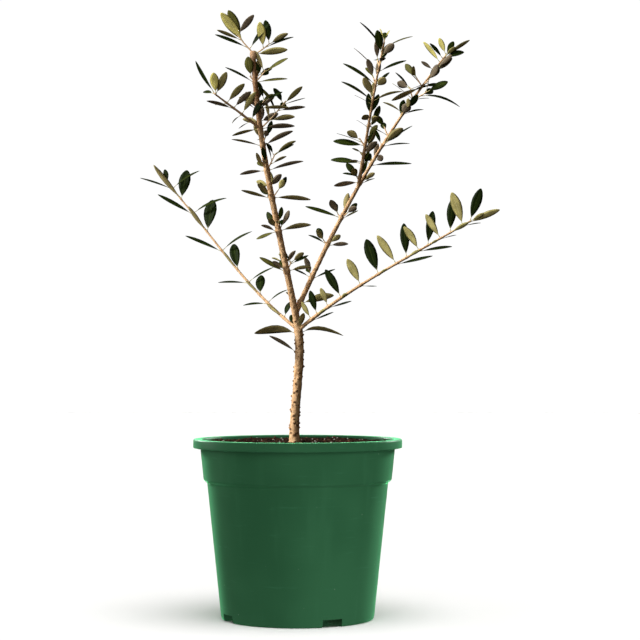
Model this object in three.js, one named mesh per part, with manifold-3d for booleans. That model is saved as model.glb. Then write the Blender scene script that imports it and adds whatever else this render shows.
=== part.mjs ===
// Potted olive tree: a young tree in a five litre nursery pot.
// Millimetres, +Z up. The origin is the centre of the pot's underside, on the ground.
// +X is the side that the right bough leans to, and +Y is the back.
import * as THREE from 'three';
import { mergeVertices } from 'three/addons/utils/BufferGeometryUtils.js';
import Module from 'manifold-3d';

const wasm = await Module();
wasm.setup();

// ---- Driving dimensions ----

const GAP = 0.3; // clearance between pieces that touch
const SLIVERS = [0.12, 0.09, 0.15, 0.06]; // edges shorter than this are closed up after a cut

const POT = {
  rimRadius: 112.5, height: 192.5, lipHeight: 9.4, lipEdge: 1.2, collarTopRadius: 105.4,
  ledgeHeight: 145.6, ledgeRise: 3, collarFootRadius: 101.3, wallTopRadius: 97.5,
  footRadius: 82.3, footRound: 2.3, footRingInner: 52, padRadius: 18,
  baseRaise: 8, wall: 2.2, facets: 28,
};
const NOTCH = { count: 4, width: 22.5, turn: -63.2 };
const DRAIN = { count: 6, radius: 5.5, ring: 36 };
const SOIL_TOP = 188.7;
const TRUNK_FOOT = new THREE.Vector3(-3.5, 0, SOIL_TOP + GAP);

// Each limb grows from its parent at a distance along it. Its lean is to the right of upright and its
// depth to the back of upright, in degrees, each from its foot to its tip; bow adds to the lean half way.
// Radii are at foot and tip, and flare is what the foot is thicker by where the limb leaves its parent.
const LIMBS = {
  trunk: { length: 123, lean: [-1, -7], depth: [0, 0], bow: 9, radius: [4.9, 4.6], flare: 1.4 },
  leader: {
    on: 'trunk', at: 123, length: 300, lean: [-11, -2], depth: [-8, -3], bow: -4, radius: [3.6, 2.5],
    flare: 0.8,
  },
  right_bough: {
    on: 'leader', at: 16, length: 355, lean: [23.5, 38], depth: [14, 24], bow: -1, radius: [2.9, 1],
    flare: 0.5,
  },
  inner_bough: {
    on: 'right_bough', at: 162, length: 164, lean: [10, 13], depth: [-30, -12], bow: -2,
    radius: [1.9, 0.9], flare: 0,
  },
  low_left_branch: {
    on: 'trunk', at: 121, length: 260, lean: [-51, -41], depth: [48, 14], bow: 7, radius: [1.7, 0.8],
    flare: 0.5,
  },
  low_right_branch: {
    on: 'trunk', at: 121, length: 225, lean: [51, 60], depth: [-44, -12], bow: 4, radius: [2, 0.9],
    flare: 0.5,
  },
  left_twig: {
    on: 'leader', at: 218, length: 62, lean: [-52, -53], depth: [-34, -20], bow: -2, radius: [1.5, 0.9],
    flare: 0,
  },
};

// Leaf pairs on the limbs. A pair stands at each node; its plane is 0 where it spreads to right and left of
// the limb and 90 where it spreads to back and front, and turns by step from node to node. Spread is each
// leaf's angle from the limb, roll its turn about its own midrib and size its share of the leaf length, in
// the order right, left, back, front. Up turns the back leaf round the limb, and lift bends leaves upright.
// Width is a share of the length. A node may also be a row: distance, then the spread, length and roll of
// its right leaf and of its left leaf, or of the back one and of the front one.
const PAIRS = {
  leader: {
    nodes: [
      [63, 90, 21, -50, 45, 28, -28], [107, 86, 30, -45, 93, 20, -40], [143, 98, 36, -40, 57, 29, 28],
      [173, 84, 35, -35, 80, 24, 35], [200, 66, 31, -45, 60, 29, 24], [218, 86, 32, -30, 92, 26, 30],
      [239, 52, 16, -60, 45, 12, 30], [268, 86, 30, 26, 50, 31, -26],
    ],
    plane: 0, step: 180, lift: 0, width: 0.28,
  },
  right_bough: {
    nodes: [
      [14, 45, 32, -40, 75, 14, 30], [44, 32, 24, 28, 84, 16, -50], [86, 52, 18, -40, 83, 19, -50],
      [120, 29, 18, 40, 95, 37, -40], [167, 32, 14, 28, 127, 26, 32], [192, 46, 43, 30, 60, 15, 28],
      [219, 46, 28, 36, 48, 17, -76], [266, 36, 22, 26, 82, 22, -10], [287, 40, 16, 28, 78, 26, -28],
      [307, 32, 20, 50, 73, 24, -34], [332, 16, 23, -70, 92, 14, 60],
    ],
    plane: 0, step: 180, lift: 0, width: 0.31,
  },
  inner_bough: {
    nodes: [
      [12, 8, 17, 60, 78, 15, -8], [28, 14, 16, 50, 93, 31, -22], [40, 16, 14, 50, 70, 10, -50],
      [49, 8, 15, 60, 88, 31, -24], [70, 30, 12, 50, 62, 11, 20], [100, 50, 30, -24, 62, 36, -8],
      [118, 30, 16, 50, 62, 38, -8], [132, 50, 29, 10, 52, 33, 14], [157, 44, 31, 6, 48, 34, -12],
    ],
    plane: 0, step: 180, lift: 0, width: 0.29,
  },
  low_left_branch: {
    nodes: [
      [26, 60, 17, 74, 6, 24, 20], [55, 90, 22, 62, 36, 29, -46], [70, 32, 26, 74, 6, 22, 30],
      [92, 90, 29, 64, 42, 33, -52], [114, 26, 33, 74, 6, 24, 30], [145, 86, 36, 62, 24, 47, -46],
      [176, 40, 39, 74, 6, 33, 30], [204, 94, 38, 50, 18, 47, -44], [227, 46, 34, 74, 4, 48, 40],
      [243, 84, 33, 50, 24, 39, -36]],
    plane: 90, step: 90, leaf: [24, 39], spread: [82, 36, 40, 6], roll: [46, -40, 74, 30],
    size: [1, 1, 1, 1], up: 72, lift: 0, width: [0.16, 0.17, 0.4, 0.16], curl: [0.22, 0.08, 0.04, 0.04],
  },
  low_right_branch: {
    nodes: [
      [21, 12, 24, 28, 84, 17, 90], [30, 69, 23, -74, 20, 14, 20], [46, 18, 24, 28, 68, 18, 90],
      [64, 86, 31, -60, 44, 18, 30], [90, 30, 14, 28, 80, 27, 78], [113, 86, 37, -66, 30, 12, 20],
      [135, 15, 37, 28, 94, 32, 66], [148, 68, 34, -74, 5, 14, 20], [163, 22, 32, 28, 90, 26, 66],
      [174, 56, 34, -74, 8, 10, 20], [189, 12, 14, 28, 92, 26, 72], [201, 58, 34, -74, 10, 20, 30],
      [216, 15, 16, 28, 74, 33, 78], [225, 40, 33, -80, 10, 14, 20]],
    plane: 0, step: 90, leaf: [22, 33], spread: [20, 88, 70, 18], roll: [28, 72, -74, 20],
    size: [1, 1, 1, 1], up: -78, lift: 0, width: [0.16, 0.37, 0.33, 0.3], curl: [0.04, 0.05, 0.05, 0.05],
  },
  left_twig: {
    nodes: [
      [14, 77, 22, 60, 60, 12, 28], [26, 85, 24, -70, 70, 11, 28], [37, 98, 22, -60, 15, 27, 28],
      [46, 96, 24, -60, 40, 9, 28],
    ],
    plane: 0, step: 180, lift: 0, width: 0.36,
  },
};

// Short side shoots of each limb: distance along the limb, length, lean, depth and leaf length. Where the
// leaves of a shoot stand apart and are well seen, they follow one by one, as single leaves do.
const SHOOTS = {
  leader: [
    [63, 11, 29, -12, 18, [
      [10, 180, 74, 13, 6, 40, 0.1, 2], [11, 185, 57, 17, 6, -30, 0.1, 0], [11, 0, 28, 14, 7, -60, 0.1, 1],
      [9, 0, 37, 18, 6, 30, 0.1, 0]]],
    [63, 3, -60, 20, 16], [64, 14, -14, 62, 17], [107, 6, 32, 30, 18],
    [107, 5, -48, -30, 18], [108, 12, 5, -60, 15], [143, 10, 42, -12, 17], [143, 3, -55, 0, 20],
    [144, 22, -12, 58, 18],
    [173, 20, 29, -8, 19, [
      [8, 0, 34, 16, 6, -30, 0.1, 1], [19, 0, 34, 20, 8, 25, 0.1, 0], [20, 10, 30, 23, 8, -40, 0.1, 2],
      [18, 180, 53, 13, 7, -30, 0.1, 0], [12, 170, 40, 14, 6, 0, 0.1, 0]]],
    [173, 4, -52, 20, 16], [172, 12, -10, -60, 16],
    [202, 8, 30, -45, 17], [201, 10, -30, 50, 16],
    [218, 41, 46, 8, 20, [
      [14, 0, 37, 24, 8, -40, 0.1, 1], [28, 0, 38, 26, 8, -20, 0.12, 0], [37, 180, 67, 17, 8, -60, 0.1, 0],
      [38, 0, 6, 24, 8, -40, 0.05, 2], [36, 0, 29, 22, 7, 0, 0.1, 1], [14, 180, 50, 16, 7, 30, 0.1, 1],
      [24, 190, 60, 14, 7, -30, 0.1, 0], [30, 90, 50, 18, 8, 0, 0.1, 0]]],
    [219, 24, -5, 60, 18],
    [238, 14, 38, -38, 18], [236, 14, -28, 45, 18], 
    [268, 17, 46, -10, 20, [
      [15, 180, 60, 21, 6, 60, 0.05, 1], [15, 0, 20, 26, 7, 40, 0.08, 2], [11, 180, 70, 12, 6, -60, 0.05, 0],
      [8, 90, 50, 14, 7, 0, 0.1, 0]]],
    [268, 9, -45, -20, 19, [[7, 0, 27, 19, 10, 75, 0.05, 2]]],
    [267, 16, 15, 55, 18],
    [299, 27, -45, -6, 25, [
      [16, 345, 3, 36, 11, -80, 0.05, 3], [20, 30, 20, 32, 11, 76, 0.05, 2], [26, 0, 76, 24, 8, -60, 0.08, 0],
      [19, 180, 26, 25, 7, 28, 0.05, 1], [9, 180, 24, 34, 8, -34, 0.06, 0], [6, 0, 78, 31, 7, 50, 0.1, 0],
      [24, 90, 24, 24, 8, 0, 0.1, 0]]],
    [297, 21, 60, 6, 24, [
      [13, 190, 58, 25, 10, 75, 0.06, 3], [21, 165, 54, 25, 9, -74, 0.05, 0], [21, 0, 8, 20, 7, -50, 0.1, 1],
      [16, 0, 16, 29, 7, 28, 0.06, 0], [3, 0, 21, 31, 9, -50, 0.1, 2]]],
  ],
  right_bough: [
    [44, 5, -20, 30, 18], [86, 6, -48, -10, 17], [86, 3, 62, 0, 15], [120, 6, -38, 10, 20],
    [120, 8, 55, -20, 17], [121, 12, 20, 60, 18], [167, 7, -34, -30, 20], [167, 5, 58, 30, 13],
    [192, 12, 30, 62, 18],
    [219, 5, 50, -45, 22, [[4, 0, 6, 26, 11, -60, 0.05, 1], [4, 0, 13, 36, 6, 12, 0.05, 0]]],
    [232, 12, -22, 10, 20, [[11, 180, 10, 14, 9, -60, 0.05, 1], [7, 90, 40, 16, 7, 0, 0.05, 0]]],
    [266, 6, 42, -30, 19],
    [287, 18, 68, -10, 22, [
      [18, 0, 5, 23, 10, 60, 0.08, 1], [10, 0, 26, 40, 7, 32, 0.42, 0], [17, 180, 40, 12, 7, 0, 0.1, 0],
      [12, 90, 45, 18, 8, 0, 0.1, 1]]],
    [287, 15, -14, 20, 19, [
      [14, 180, 46, 13, 9, 60, 0.05, 0], [15, 180, 26, 22, 6, -40, 0.05, 0],
      [13, 0, 79, 18, 6, 15, 0.05, 0], [10, 0, 80, 19, 8, 40, 0.08, 0]]],
    [307, 12, -38, -20, 19], [307, 10, 50, -10, 20], [332, 6, 60, 44, 18],
    [353, 4, 36, -10, 24, [
      [4, 180, 50, 17, 7, 70, 0.05, 3], [3, 0, 25, 29, 8, -32, 0.06, 2], [0, 0, 34, 20, 9, 50, 0.08, 0],
      [4, 90, 30, 18, 7, 0, 0.05, 1], [2, 300, 30, 14, 6, 0, 0.05, 2]]],
  ],
  inner_bough: [
    [48, 11, -37, -10, 18, [
      [9, 180, 23, 14, 9, 60, 0.1, 1], [6, 180, 34, 26, 6, -8, 0.08, 0]]],
    [40, 10, 30, 50, 18], [70, 6, 40, -40, 21], [94, 12, 0, 62, 16], [118, 8, -20, 10, 20],
    [118, 12, 10, 60, 18], [138, 5, 30, -50, 17], [138, 10, -14, 50, 19],
    [163, 4, 6, 10, 22, [
      [4, 0, 20, 9, 4, 30, 0.05, 3], [4, 190, 24, 10, 5, 0, 0.05, 3], [3, 90, 40, 15, 7, 0, 0.05, 1]]],
  ],
  left_twig: [[61, 3, -52, 0, 24, [
    [0, 340, 48, 20, 10, -80, 0.05, 3], [0, 20, 76, 25, 9, -65, 0.08, 2], [3, 0, 10, 36, 8, 30, 0.03, 0],
    [2, 120, 45, 13, 6, 0, 0.05, 1]]]],
};

// Single leaves: distance along the limb, turn round it (0 right, 90 back), spread, length, width, roll,
// curl and colour group (0 grey, 1 olive, 2 green, 3 young).
const SINGLES = {
  trunk: [
    [118, 180, 64, 38, 13, 50, 0.6, 1], [118, 5, 66, 33, 10, -34, 0.9, 1], [97, 185, 50, 31, 8, 30, 0.18, 0],
    [122, 300, 30, 17, 8, 0, 0.1, 1], [122, 110, 35, 19, 9, 0, 0.1, 0],
  ],
  leader: [
    [107, 200, 54, 16, 6, 30, 0.08, 0], [240, 350, 92, 29, 7, -32, 0.05, 1],
    [266, 0, 142, 22, 6, 40, 0.05, 2],
  ],
  right_bough: [
    [198, 330, 40, 8, 8, -60, 0.05, 0], [233, 180, 93, 24, 5, -8, 0.05, 0],
    [262, 265, 35, 13, 11, 10, 0.05, 0], [261, 160, 20, 20, 8, -60, 0.05, 0],
    [304, 180, 150, 36, 8, 30, 0.1, 1], [345, 180, 72, 27, 7, 25, 0.06, 3],
    [351, 180, 74, 20, 8, -60, 0.06, 0],
  ],
  inner_bough: [
    [11, 200, 46, 12, 8, -70, 0.05, 0], [28, 15, 28, 11, 8, 60, 0.05, 0], [30, 205, 80, 11, 7, 45, 0.05, 1],
    [38, 350, 26, 19, 9, -60, 0.08, 0], [58, 10, 26, 15, 7, 50, 0.05, 2], [77, 235, 55, 12, 9, 50, 0.05, 1],
    [84, 150, 14, 20, 7, -60, 0.05, 0], [85, 30, 10, 20, 7, 60, 0.05, 0], [96, 190, 66, 18, 6, 10, 0.08, 0],
    [105, 200, 36, 21, 9, 60, 0.06, 1], [115, 345, 34, 12, 10, -65, 0.05, 1],
    [152, 190, 20, 22, 10, -75, 0.05, 1], [149, 330, 34, 17, 9, -60, 0.08, 0],
  ],
  low_left_branch: [[258, 0, 2, 12, 5, 60, 0.05, 2], [252, 20, 26, 15, 6, 70, 0.05, 0]],
  low_right_branch: [[223, 350, 6, 32, 8, -50, 0.05, 2]],
};

// Each limb's foliage is parted into masses at these distances along it.
const MASS_BOUNDS = {
  trunk: [86, 122.7],
  leader: [45, 85, 159, 210, 253, 300],
  right_bough: [8, 103, 143, 181, 242, 355],
  inner_bough: [9, 82, 127, 164],
  low_left_branch: [15, 129, 189, 260],
  low_right_branch: [12, 57, 157, 225],
  left_twig: [9, 62],
};

const LEAF = { petiole: 3, thickness: 2.4, shootWidth: 0.4 };
// A leaf's solid: where it is widest, and by how much over the leaf.
const WEDGE = { widest: 0.55, outset: 1.1 };
const SHOOT = { gap: 8.5, radius: 1.4, pairSpread: 55, tipSpread: 38, loose: 35, lift: 0.05 };
// The sleeve round a limb that carries a mass of foliage, with a cap over the limb's tip.
const SLEEVE = { share: 1.2, wall: 1.2, sides: 5, rootDepth: 0.55, cap: 3 };
const LIMB_SIDES = 6;
const LIMB_STEP = 48; // longest straight stretch of a limb

const COLOURS = { pot: 0x2c5a3c, soil: 0x33231a, bark: 0xb3895f, leaf: 0x5f6b42 };

// ---- Growth ----

const rad = THREE.MathUtils.degToRad;
const UP = new THREE.Vector3(0, 0, 1);

// A repeatable number from -1 to 1 for a set of whole numbers.
function jitter(...keys) {
  let sum = 0;
  keys.forEach((key, i) => { sum += (key + 1.37) * (12.9898 + i * 65.233); });
  const value = Math.sin(sum) * 43758.5453;
  return 2 * (value - Math.floor(value)) - 1;
}

function heading(lean, depth) {
  return new THREE.Vector3(Math.tan(rad(lean)), Math.tan(rad(depth)), 1).normalize();
}

// Unit vectors across a limb: to the right in the plane of the limbs, and to the back.
function across(along) {
  const right = new THREE.Vector3(along.z, 0, -along.x).normalize();
  return [right, new THREE.Vector3().crossVectors(along, right)];
}

// A curved tapering stem, kept as a run of short steps.
class Stem {
  constructor(base, { length, lean, depth, bow = 0, radius, flare = 0 }) {
    Object.assign(this, { length, radius, flare, steps: 24, points: [base.clone()], ways: [] });
    for (let i = 0; i <= this.steps; i += 1) {
      const u = i / this.steps;
      const leanHere = lean[1] + (lean[0] - lean[1]) * (1 - u) + bow * Math.sin(Math.PI * u);
      this.ways.push(heading(leanHere, depth[1] + (depth[0] - depth[1]) * (1 - u)));
      if (i < this.steps) {
        this.points.push(this.points[i].clone().addScaledVector(this.ways[i], length / this.steps));
      }
    }
  }

  at(distance) {
    const u = THREE.MathUtils.clamp(distance / this.length, 0, 1) * this.steps;
    const i = Math.min(Math.floor(u), this.steps - 1);
    return {
      point: this.points[i].clone().lerp(this.points[i + 1], u - i),
      along: this.ways[i].clone().lerp(this.ways[i + 1], u - i).normalize(),
    };
  }

  radiusAt(distance) {
    const u = THREE.MathUtils.clamp(distance / this.length, 0, 1);
    return this.radius[0] * (1 - u) + this.radius[1] * u + this.flare * Math.exp(-distance / 10);
  }
}

const stems = {};
for (const [name, limb] of Object.entries(LIMBS)) {
  stems[name] = new Stem(limb.on ? stems[limb.on].at(limb.at).point : TRUNK_FOOT, limb);
}

// Where a leaf or shoot that points along way is rooted in the sleeve round a limb, or in the cap on its tip.
function rootOn(stem, distance, way) {
  const { point, along } = stem.at(distance);
  if (distance > stem.length - 1) return point.addScaledVector(along, SLEEVE.cap / 2);
  const out = way.clone().addScaledVector(along, -way.dot(along)).normalize();
  return point.addScaledVector(out, stem.radiusAt(distance) + SLEEVE.rootDepth);
}

// One leaf: where its stalk starts, which way it points and its face looks, and its size.
function growLeaf(stem, distance, turn, { spread, length, width, lift = 0, roll = 0, curl }) {
  const { point, along } = stem.at(distance);
  const [right, back] = across(along);
  const out = right.multiplyScalar(Math.cos(rad(turn))).addScaledVector(back, Math.sin(rad(turn)));
  const way = along.clone().multiplyScalar(Math.cos(rad(spread)))
    .addScaledVector(out, Math.sin(rad(spread))).addScaledVector(UP, lift).normalize();
  const face = along.clone().addScaledVector(way, -along.dot(way)).normalize();
  face.applyAxisAngle(way, rad(roll));
  const base = point.addScaledVector(out, 0.8 * stem.radiusAt(distance));
  return { base, way, face, length, width, curl, root: rootOn(stem, distance, out) };
}

// The two leaves of a pair, opposite each other. own holds spread, length and roll where they are given.
function growPair(stem, seed, index, distance, plane, length, habit, own = []) {
  const turns = [0, 180, 90 - (habit.up ?? 0), 270];
  const frontAndBack = Math.floor(plane / 90) % 2;
  const swapped = Math.floor(plane / 180) % 2;
  return [0, 1].map((side) => {
    const random = (n) => jitter(seed, index, side, n);
    const kind = frontAndBack * 2 + (swapped ? 1 - side : side);
    const [ownSpread, ownLength, ownRoll] = own.slice(3 * (kind % 2));
    const size = ownLength ?? length * habit.size[kind] * (1 + 0.1 * random(2));
    return growLeaf(stem, distance, turns[kind] + (own.length ? 6 : 14) * random(0), {
      spread: own.length ? ownSpread + 3 * random(1) : habit.spread[kind] + 5 * random(1),
      length: size,
      width: size * (habit.width[kind] ?? habit.width) * (1 + 0.15 * random(3)),
      lift: habit.lift,
      roll: own.length ? ownRoll + 8 * random(4) : habit.roll[kind] + (habit.loose ?? 12) * random(4),
      curl: (habit.curl?.[kind] ?? 0.12) + 0.05 * random(5),
    });
  });
}

function singleLeaf(stem, [distance, turn, spread, length, width, roll, curl]) {
  return growLeaf(stem, distance, turn, { spread, length, width, roll, curl });
}

// All that grows on one limb: leaves and short shoots, each with its distance along the limb.
function growLimb(name, limbIndex) {
  const stem = stems[name];
  const grown = [];
  const habit = PAIRS[name];
  habit?.nodes.forEach((node, k) => {
    const [distance, ...own] = [node].flat();
    const length = own.length ? 0 : THREE.MathUtils.lerp(...habit.leaf, distance / stem.length);
    const plane = habit.plane + k * habit.step;
    const leaves = growPair(stem, limbIndex, k, distance, plane, length, habit, own);
    grown.push({ distance, leaves });
  });
  (SHOOTS[name] ?? []).forEach(([distance, length, lean, depth, leaf, own], k) => {
    const shoot = new Stem(stem.at(distance).point, {
      length, lean: [lean, 0.8 * lean], depth: [depth, 0.8 * depth], radius: [0.9, 0.6],
    });
    const even = (spread) => ({
      spread: Array(4).fill(spread), roll: [0, 0, 0, 0], loose: SHOOT.loose, size: [1, 1, 1, 1],
      width: LEAF.shootWidth, lift: SHOOT.lift,
    });
    const pairs = Math.max(0, Math.floor((length - 5) / 9));
    const rootAt = (up) => (pairs > 0 ? shoot.at(up - 1.2).point : rootOn(stem, distance, shoot.ways[0]));
    const leaves = (own ?? []).map((row) => ({ ...singleLeaf(shoot, row), root: rootAt(row[0]) }));
    for (let i = 0; i <= pairs && !own; i += 1) {
      const up = length - (pairs - i) * SHOOT.gap;
      const pair = growPair(shoot, 100 * (limbIndex + 1) + k, i, up, 90 * (i + 1), leaf,
        even(i < pairs ? SHOOT.pairSpread : SHOOT.tipSpread));
      pair.forEach((grownLeaf) => leaves.push({ ...grownLeaf, root: rootAt(up) }));
    }
    grown.push({ distance, leaves, shoot: pairs > 0 ? shoot : null });
  });
  (SINGLES[name] ?? []).forEach((row) => {
    grown.push({ distance: row[0], leaves: [singleLeaf(stem, row)] });
  });
  return grown;
}

// ---- Solids ----

function solidOf(geometry) {
  geometry.deleteAttribute('normal');
  geometry.deleteAttribute('uv');
  const merged = mergeVertices(geometry, 1e-3);
  return new wasm.Manifold(new wasm.Mesh({
    numProp: 3,
    vertProperties: new Float32Array(merged.attributes.position.array),
    triVerts: new Uint32Array(merged.index.array),
  }));
}

function joined(solids) {
  return solids.reduce((whole, solid) => whole.add(solid));
}

function geometryOf(solid) {
  const { vertProperties, triVerts } = solid.getMesh();
  const geometry = new THREE.BufferGeometry();
  geometry.setAttribute('position', new THREE.BufferAttribute(vertProperties, 3));
  geometry.setIndex(new THREE.BufferAttribute(triVerts, 1));
  return geometry;
}

// True where two stretches of the surface touch along an edge, which then belongs to four faces.
function pinched(solid) {
  const geometry = mergeVertices(geometryOf(solid), 1e-3);
  const seen = new Map();
  const corners = geometry.index.array;
  corners.forEach((from, i) => {
    const to = corners[i % 3 === 2 ? i - 2 : i + 1];
    const edge = Math.min(from, to) * corners.length + Math.max(from, to);
    seen.set(edge, (seen.get(edge) ?? 0) + 1);
  });
  return [...seen.values()].some((faces) => faces !== 2);
}

// The largest of the pieces that a cut leaves, without slivers and without pinched edges.
function largest(solid) {
  const pick = (whole) => whole.decompose()
    .reduce((best, piece) => (piece.volume() > best.volume() ? piece : best));
  const cleaned = (sliver) => pick(solidOf(geometryOf(pick(solid.simplify(sliver)))));
  return cleaned(SLIVERS.find((sliver) => !pinched(cleaned(sliver))) ?? SLIVERS[0]);
}

const tree = new THREE.Group();

function addMesh(name, geometry, colour, roughness) {
  geometry.computeVertexNormals();
  const material = new THREE.MeshStandardMaterial({ color: colour, roughness, metalness: 0 });
  const mesh = new THREE.Mesh(geometry, material);
  mesh.name = name;
  tree.add(mesh);
}

function addSolid(name, solid, colour, roughness) {
  addMesh(name, geometryOf(solid), colour, roughness);
}

// A profile of radii and heights turned round the upright axis.
function turned(profile, facets) {
  const points = profile.map(([radius, height]) => new THREE.Vector2(radius, height));
  return new THREE.LatheGeometry(points, facets).rotateX(Math.PI / 2);
}

// A limb, or a stretch of it: a cylinder bent along the stem, wider than the stem by what grow adds.
function limbGeometry(stem, from, to, grow, sides) {
  const steps = Math.max(1, Math.ceil((to - from) / LIMB_STEP));
  const geometry = new THREE.CylinderGeometry(1, 1, 1, sides, steps);
  const position = geometry.attributes.position;
  const vertex = new THREE.Vector3();
  for (let i = 0; i < position.count; i += 1) {
    vertex.fromBufferAttribute(position, i);
    const distance = from + (vertex.y + 0.5) * (to - from);
    const { point, along } = stem.at(distance);
    const [right, back] = across(along);
    const radius = grow(stem.radiusAt(distance));
    point.addScaledVector(along, distance > stem.length ? distance - stem.length : Math.min(distance, 0));
    point.addScaledVector(right, vertex.z * radius).addScaledVector(back, vertex.x * radius);
    position.setXYZ(i, point.x, point.y, point.z);
  }
  return geometry;
}

// A leaf with its stalk: a flat wedge of six faces, thick along one edge, curled back along its length.
function leafSolid({ root, base, way, face, length, width, curl }, extra) {
  const geometry = new THREE.SphereGeometry(1, 3, 2);
  const position = geometry.attributes.position;
  const side = new THREE.Vector3().crossVectors(way, face);
  const whole = length + LEAF.petiole;
  const vertex = new THREE.Vector3();
  for (let i = 0; i < position.count; i += 1) {
    vertex.fromBufferAttribute(position, i);
    const share = [0, WEDGE.widest, 1 + extra / whole][Math.round(vertex.y) + 1];
    const along = Math.max(0, share * whole - LEAF.petiole) / length;
    const point = base.clone().addScaledVector(way, share * whole)
      .addScaledVector(face, -curl * length * along * along);
    if (share > 0 && share < 1) {
      const [across, through] = [Math.sign(vertex.x), Math.sign(Math.round(vertex.z))];
      point.addScaledVector(side, across * (WEDGE.outset * width / 2 + extra));
      point.addScaledVector(face, through * (LEAF.thickness / 2 + extra));
    }
    const placed = share === 0 ? root : point;
    position.setXYZ(i, placed.x, placed.y, placed.z);
  }
  return solidOf(geometry);
}

// ---- Pot and soil ----

// Outside from the centre pad out and up, over the rim, and down the inner wall to the base plate.
const potProfile = [
  [0, 0], [POT.padRadius, 0], [POT.padRadius, POT.baseRaise], [POT.footRingInner, POT.baseRaise],
  [POT.footRingInner, 0], [POT.footRadius - POT.footRound, 0], [POT.footRadius, POT.footRound],
  [POT.wallTopRadius, POT.ledgeHeight], [POT.collarFootRadius, POT.ledgeHeight + POT.ledgeRise],
  [POT.collarTopRadius, POT.height - POT.wall], [POT.rimRadius - POT.wall, POT.height - POT.wall],
  [POT.rimRadius - POT.wall, POT.height - POT.lipHeight], [POT.rimRadius, POT.height - POT.lipHeight],
  [POT.rimRadius, POT.height - POT.lipEdge], [POT.rimRadius - POT.lipEdge, POT.height],
  [POT.collarTopRadius - POT.wall, POT.height],
  [POT.collarFootRadius - POT.wall, POT.ledgeHeight + POT.ledgeRise],
  [POT.wallTopRadius - POT.wall, POT.ledgeHeight],
  [POT.footRadius - POT.wall, POT.baseRaise + POT.wall], [0, POT.baseRaise + POT.wall],
];

function potSolid() {
  let pot = solidOf(turned(potProfile, POT.facets));
  const reach = POT.footRadius + 2 - POT.footRingInner + 2;
  for (let i = 0; i < NOTCH.count; i += 1) {
    const notch = new THREE.BoxGeometry(NOTCH.width, reach, POT.baseRaise + 1);
    notch.translate(0, -(POT.footRingInner - 2 + reach / 2), (POT.baseRaise - 1) / 2);
    notch.rotateZ(rad(NOTCH.turn + 360 * i / NOTCH.count));
    pot = pot.subtract(solidOf(notch));
  }
  for (let i = 0; i < DRAIN.count; i += 1) {
    const hole = new THREE.CylinderGeometry(DRAIN.radius, DRAIN.radius, 3 * POT.wall, 6);
    hole.rotateX(Math.PI / 2).translate(DRAIN.ring, 0, POT.baseRaise + POT.wall / 2);
    pot = pot.subtract(solidOf(hole.rotateZ(2 * Math.PI * (i + 0.5) / DRAIN.count)));
  }
  return pot;
}

const inner = (radius) => radius - POT.wall - GAP;
const soilProfile = [
  [0, POT.baseRaise + POT.wall + GAP], [inner(POT.footRadius), POT.baseRaise + POT.wall + GAP],
  [inner(POT.wallTopRadius), POT.ledgeHeight], [inner(POT.collarTopRadius) - 1, SOIL_TOP], [0, SOIL_TOP],
];

addSolid('pot', potSolid(), COLOURS.pot, 0.45);
addMesh('soil', turned(soilProfile, POT.facets), COLOURS.soil, 1);

// ---- Limbs ----

// Every limb with its clearance added, which cuts what grows out of it or round it.
const clearances = {};
for (const [name, stem] of Object.entries(stems)) {
  const wider = limbGeometry(stem, -GAP, stem.length + GAP, (radius) => radius + GAP, LIMB_SIDES);
  clearances[name] = solidOf(wider);
}

for (const [name, limb] of Object.entries(LIMBS)) {
  const stem = stems[name];
  let solid = solidOf(limbGeometry(stem, 0, stem.length, (radius) => radius, LIMB_SIDES));
  for (const other of Object.keys(LIMBS)) {
    if (other === name) break;
    solid = solid.subtract(clearances[other]);
  }
  addSolid(name, largest(solid), COLOURS.bark, 0.8);
}

// ---- Foliage ----

const allClearances = joined(Object.values(clearances));
const cutters = [];

// A mass of foliage: leaves, side shoots and a thin sleeve round the limb that carries them.
function massSolid(stem, from, to, grown, extra) {
  const sleeveRadius = (radius) => SLEEVE.share * radius + SLEEVE.wall + extra;
  const solids = [solidOf(limbGeometry(stem, from, to, sleeveRadius, SLEEVE.sides))];
  for (const { leaves, shoot } of grown) {
    if (shoot) {
      solids.push(solidOf(limbGeometry(shoot, 0, shoot.length, () => SHOOT.radius + extra, 3)));
    }
    leaves.forEach((leaf) => solids.push(leafSolid(leaf, extra)));
  }
  return joined(solids);
}

Object.entries(MASS_BOUNDS).forEach(([name, bounds]) => {
  const grown = growLimb(name, Object.keys(LIMBS).indexOf(name));
  for (let i = 0; i + 1 < bounds.length; i += 1) {
    const last = i + 2 === bounds.length;
    const from = bounds[i];
    const to = bounds[i + 1] < stems[name].length ? bounds[i + 1] - GAP : stems[name].length + SLEEVE.cap;
    const here = grown.filter(({ distance }) => distance <= (last ? Infinity : to)
      && distance > (i === 0 ? -Infinity : from));
    const node = `${name}_foliage_${i + 1}`;
    let solid = massSolid(stems[name], from, to, here, 0).subtract(allClearances);
    cutters.forEach((cutter) => { solid = solid.subtract(cutter); });
    addSolid(node, largest(solid), COLOURS.leaf, 0.6);
    cutters.push(massSolid(stems[name], from, to, here, GAP));
  }
});

export default tree;
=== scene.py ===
# %% [markdown]
# # A young olive tree in a nursery pot
# The real thing is a plant of a few years: a bare stem, three boughs, two low branches and a twig, with
# small leathery leaves that stand in pairs, in a green moulded pot full of dark compost. The construction
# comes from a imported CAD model, which this lesson loads as its frame. Each visible surface is then made
# again with the detail that the solids leave out, in the same place and at the same size.

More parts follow.
